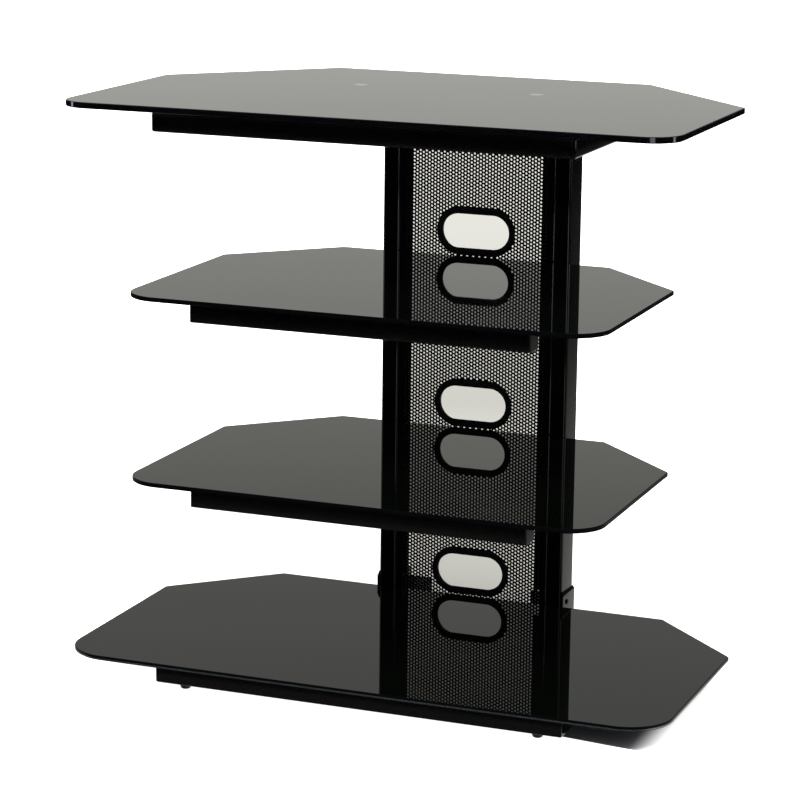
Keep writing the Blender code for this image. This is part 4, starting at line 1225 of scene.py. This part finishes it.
# %% Turn the bolts and screws
ROUND_STEPS = 48
SOCKET_BREAK, UNDER_HEAD, TIP_BREAK = 0.0003, 0.0002, 0.0006
DRILL_WIDTH, DRILL_DEPTH = 0.25, 0.1     # the drill's mark in the socket, as shares of its width
#        radius and height of the head, radius of the shank, width and depth of the socket, rounding
BOLT = (0.0075, 0.005, 0.004, 0.0069, 0.003, 0.0008)
SCREW = (0.0035, 0.0018, 0.002, 0.0026, 0.0010, 0.0006)


def circle(radius):
    """A round ring as (u, v) points."""
    return [(radius * cos(2 * pi * k / ROUND_STEPS), radius * sin(2 * pi * k / ROUND_STEPS))
            for k in range(ROUND_STEPS)]


def hexagon(across_corners):
    """A six-sided ring with as many points as the circle."""
    ring = []
    for k in range(ROUND_STEPS):
        part, share = divmod(k * 6 / ROUND_STEPS, 1)
        one, two = (Vector((cos(pi / 3 * i), sin(pi / 3 * i))) for i in (part, part + 1))
        ring.append(tuple(one.lerp(two, share) * across_corners / 2))
    return ring


def fastener(node, axis, outward, head, head_height, shank, socket, socket_depth, edge):
    """A socket head screw whose head looks along +axis or -axis."""
    low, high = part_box(node)
    top, tip = (high[axis], low[axis])[::outward]
    length = abs(top - tip)
    stations = [(hexagon(socket * DRILL_WIDTH), socket_depth + socket * DRILL_DEPTH),
                (hexagon(socket), socket_depth), (hexagon(socket), SOCKET_BREAK),
                (hexagon(socket + 2 * SOCKET_BREAK), 0.0)]
    stations += [(circle(head - edge * (1 - s)), edge * (1 - c))
                 for s, c in quarter(EDGE_STEPS)]
    stations += [(circle(head), head_height - UNDER_HEAD), (circle(head - UNDER_HEAD), head_height),
                 (circle(shank), head_height), (circle(shank), length - TIP_BREAK),
                 (circle(shank - TIP_BREAK), length)]
    stations = [(ring, top - outward * depth) for ring, depth in stations]
    return skinned_piece(node + "_turned", rings_along(axis, stations, (low + high) / 2),
                         black_oxide, [node])


for side, direction in (("left", -1), ("right", 1)):
    for level in ("top", "upper", "lower"):
        bolt = fastener(f"{level}_{side}_bolt", 1, 1, *BOLT)
    screw = fastener(side + "_shoe_screw", 0, direction, *SCREW)
print("bolt", size_in_mm(bolt), "mm, screw", size_in_mm(screw), "mm")

# %% [markdown]
# ## Levelling feet
#
# Each foot is a nylon glide on a threaded stud that screws into a nut inside the base frame. The
# glide is a turned shape: a flat that meets the floor, a round shoulder and a straight side. Each
# one rides on its own CAD body, which turns about the stud, so it follows its joint with no more
# work. The thread is cut as true rings at the pitch of an M6 screw.

# %% Turn the feet
FLAT_RADIUS, FOOT_RADIUS, SHOULDER = 0.004, 0.00725, 0.0045
FLAT_INNER, SHOULDER_STEPS = 0.5, 10     # share of the flat where the skin starts
STUD_RADIUS, STUD_BREAK = 0.003, 0.0006
THREAD_PITCH, THREAD_DEPTH, THREAD_START = 0.001, 0.0006, 0.0005


def glide(node):
    """A foot: flat, shoulder, side and stud, as one turned skin."""
    low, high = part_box(node)
    body_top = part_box("base_front_rail")[0].z - GAP
    stations = [(FLAT_RADIUS * FLAT_INNER, 0.0)]
    stations += [(FLAT_RADIUS + (FOOT_RADIUS - FLAT_RADIUS) * s, SHOULDER * (1 - c))
                 for s, c in quarter(SHOULDER_STEPS)]
    stations += [(FOOT_RADIUS, body_top - GAP), (FOOT_RADIUS - GAP, body_top),
                 (STUD_RADIUS, body_top)]
    z = body_top + THREAD_START
    while z + THREAD_PITCH < high.z - STUD_BREAK:
        stations += [(STUD_RADIUS, z), (STUD_RADIUS - THREAD_DEPTH, z + THREAD_PITCH / 2)]
        z += THREAD_PITCH
    stations += [(STUD_RADIUS, z), (STUD_RADIUS, high.z - STUD_BREAK),
                 (STUD_RADIUS - STUD_BREAK, high.z)]
    stations = [(circle(radius), low.z + height) for radius, height in stations]
    return skinned_piece(node + "_glide", rings_along(2, stations, (low + high) / 2), foot_nylon,
                         [node], node)


for node in ("front_left_foot", "front_right_foot", "rear_left_foot", "rear_right_foot"):
    made = glide(node)
print("foot", size_in_mm(made), "mm")

# %% [markdown]
# ## Pads between glass and steel
#
# The panes lie on strips and discs of clear tape. The CAD solids already have the right shape, so
# they stay, and only their material changes.

# %% Give the pads their tape
taped = [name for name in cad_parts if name.endswith(("_strip", "_disc"))]
for name in taped:
    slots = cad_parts[name].data.materials
    slots.clear()
    slots.append(clear_tape)
print("pads in clear tape:", len(taped))
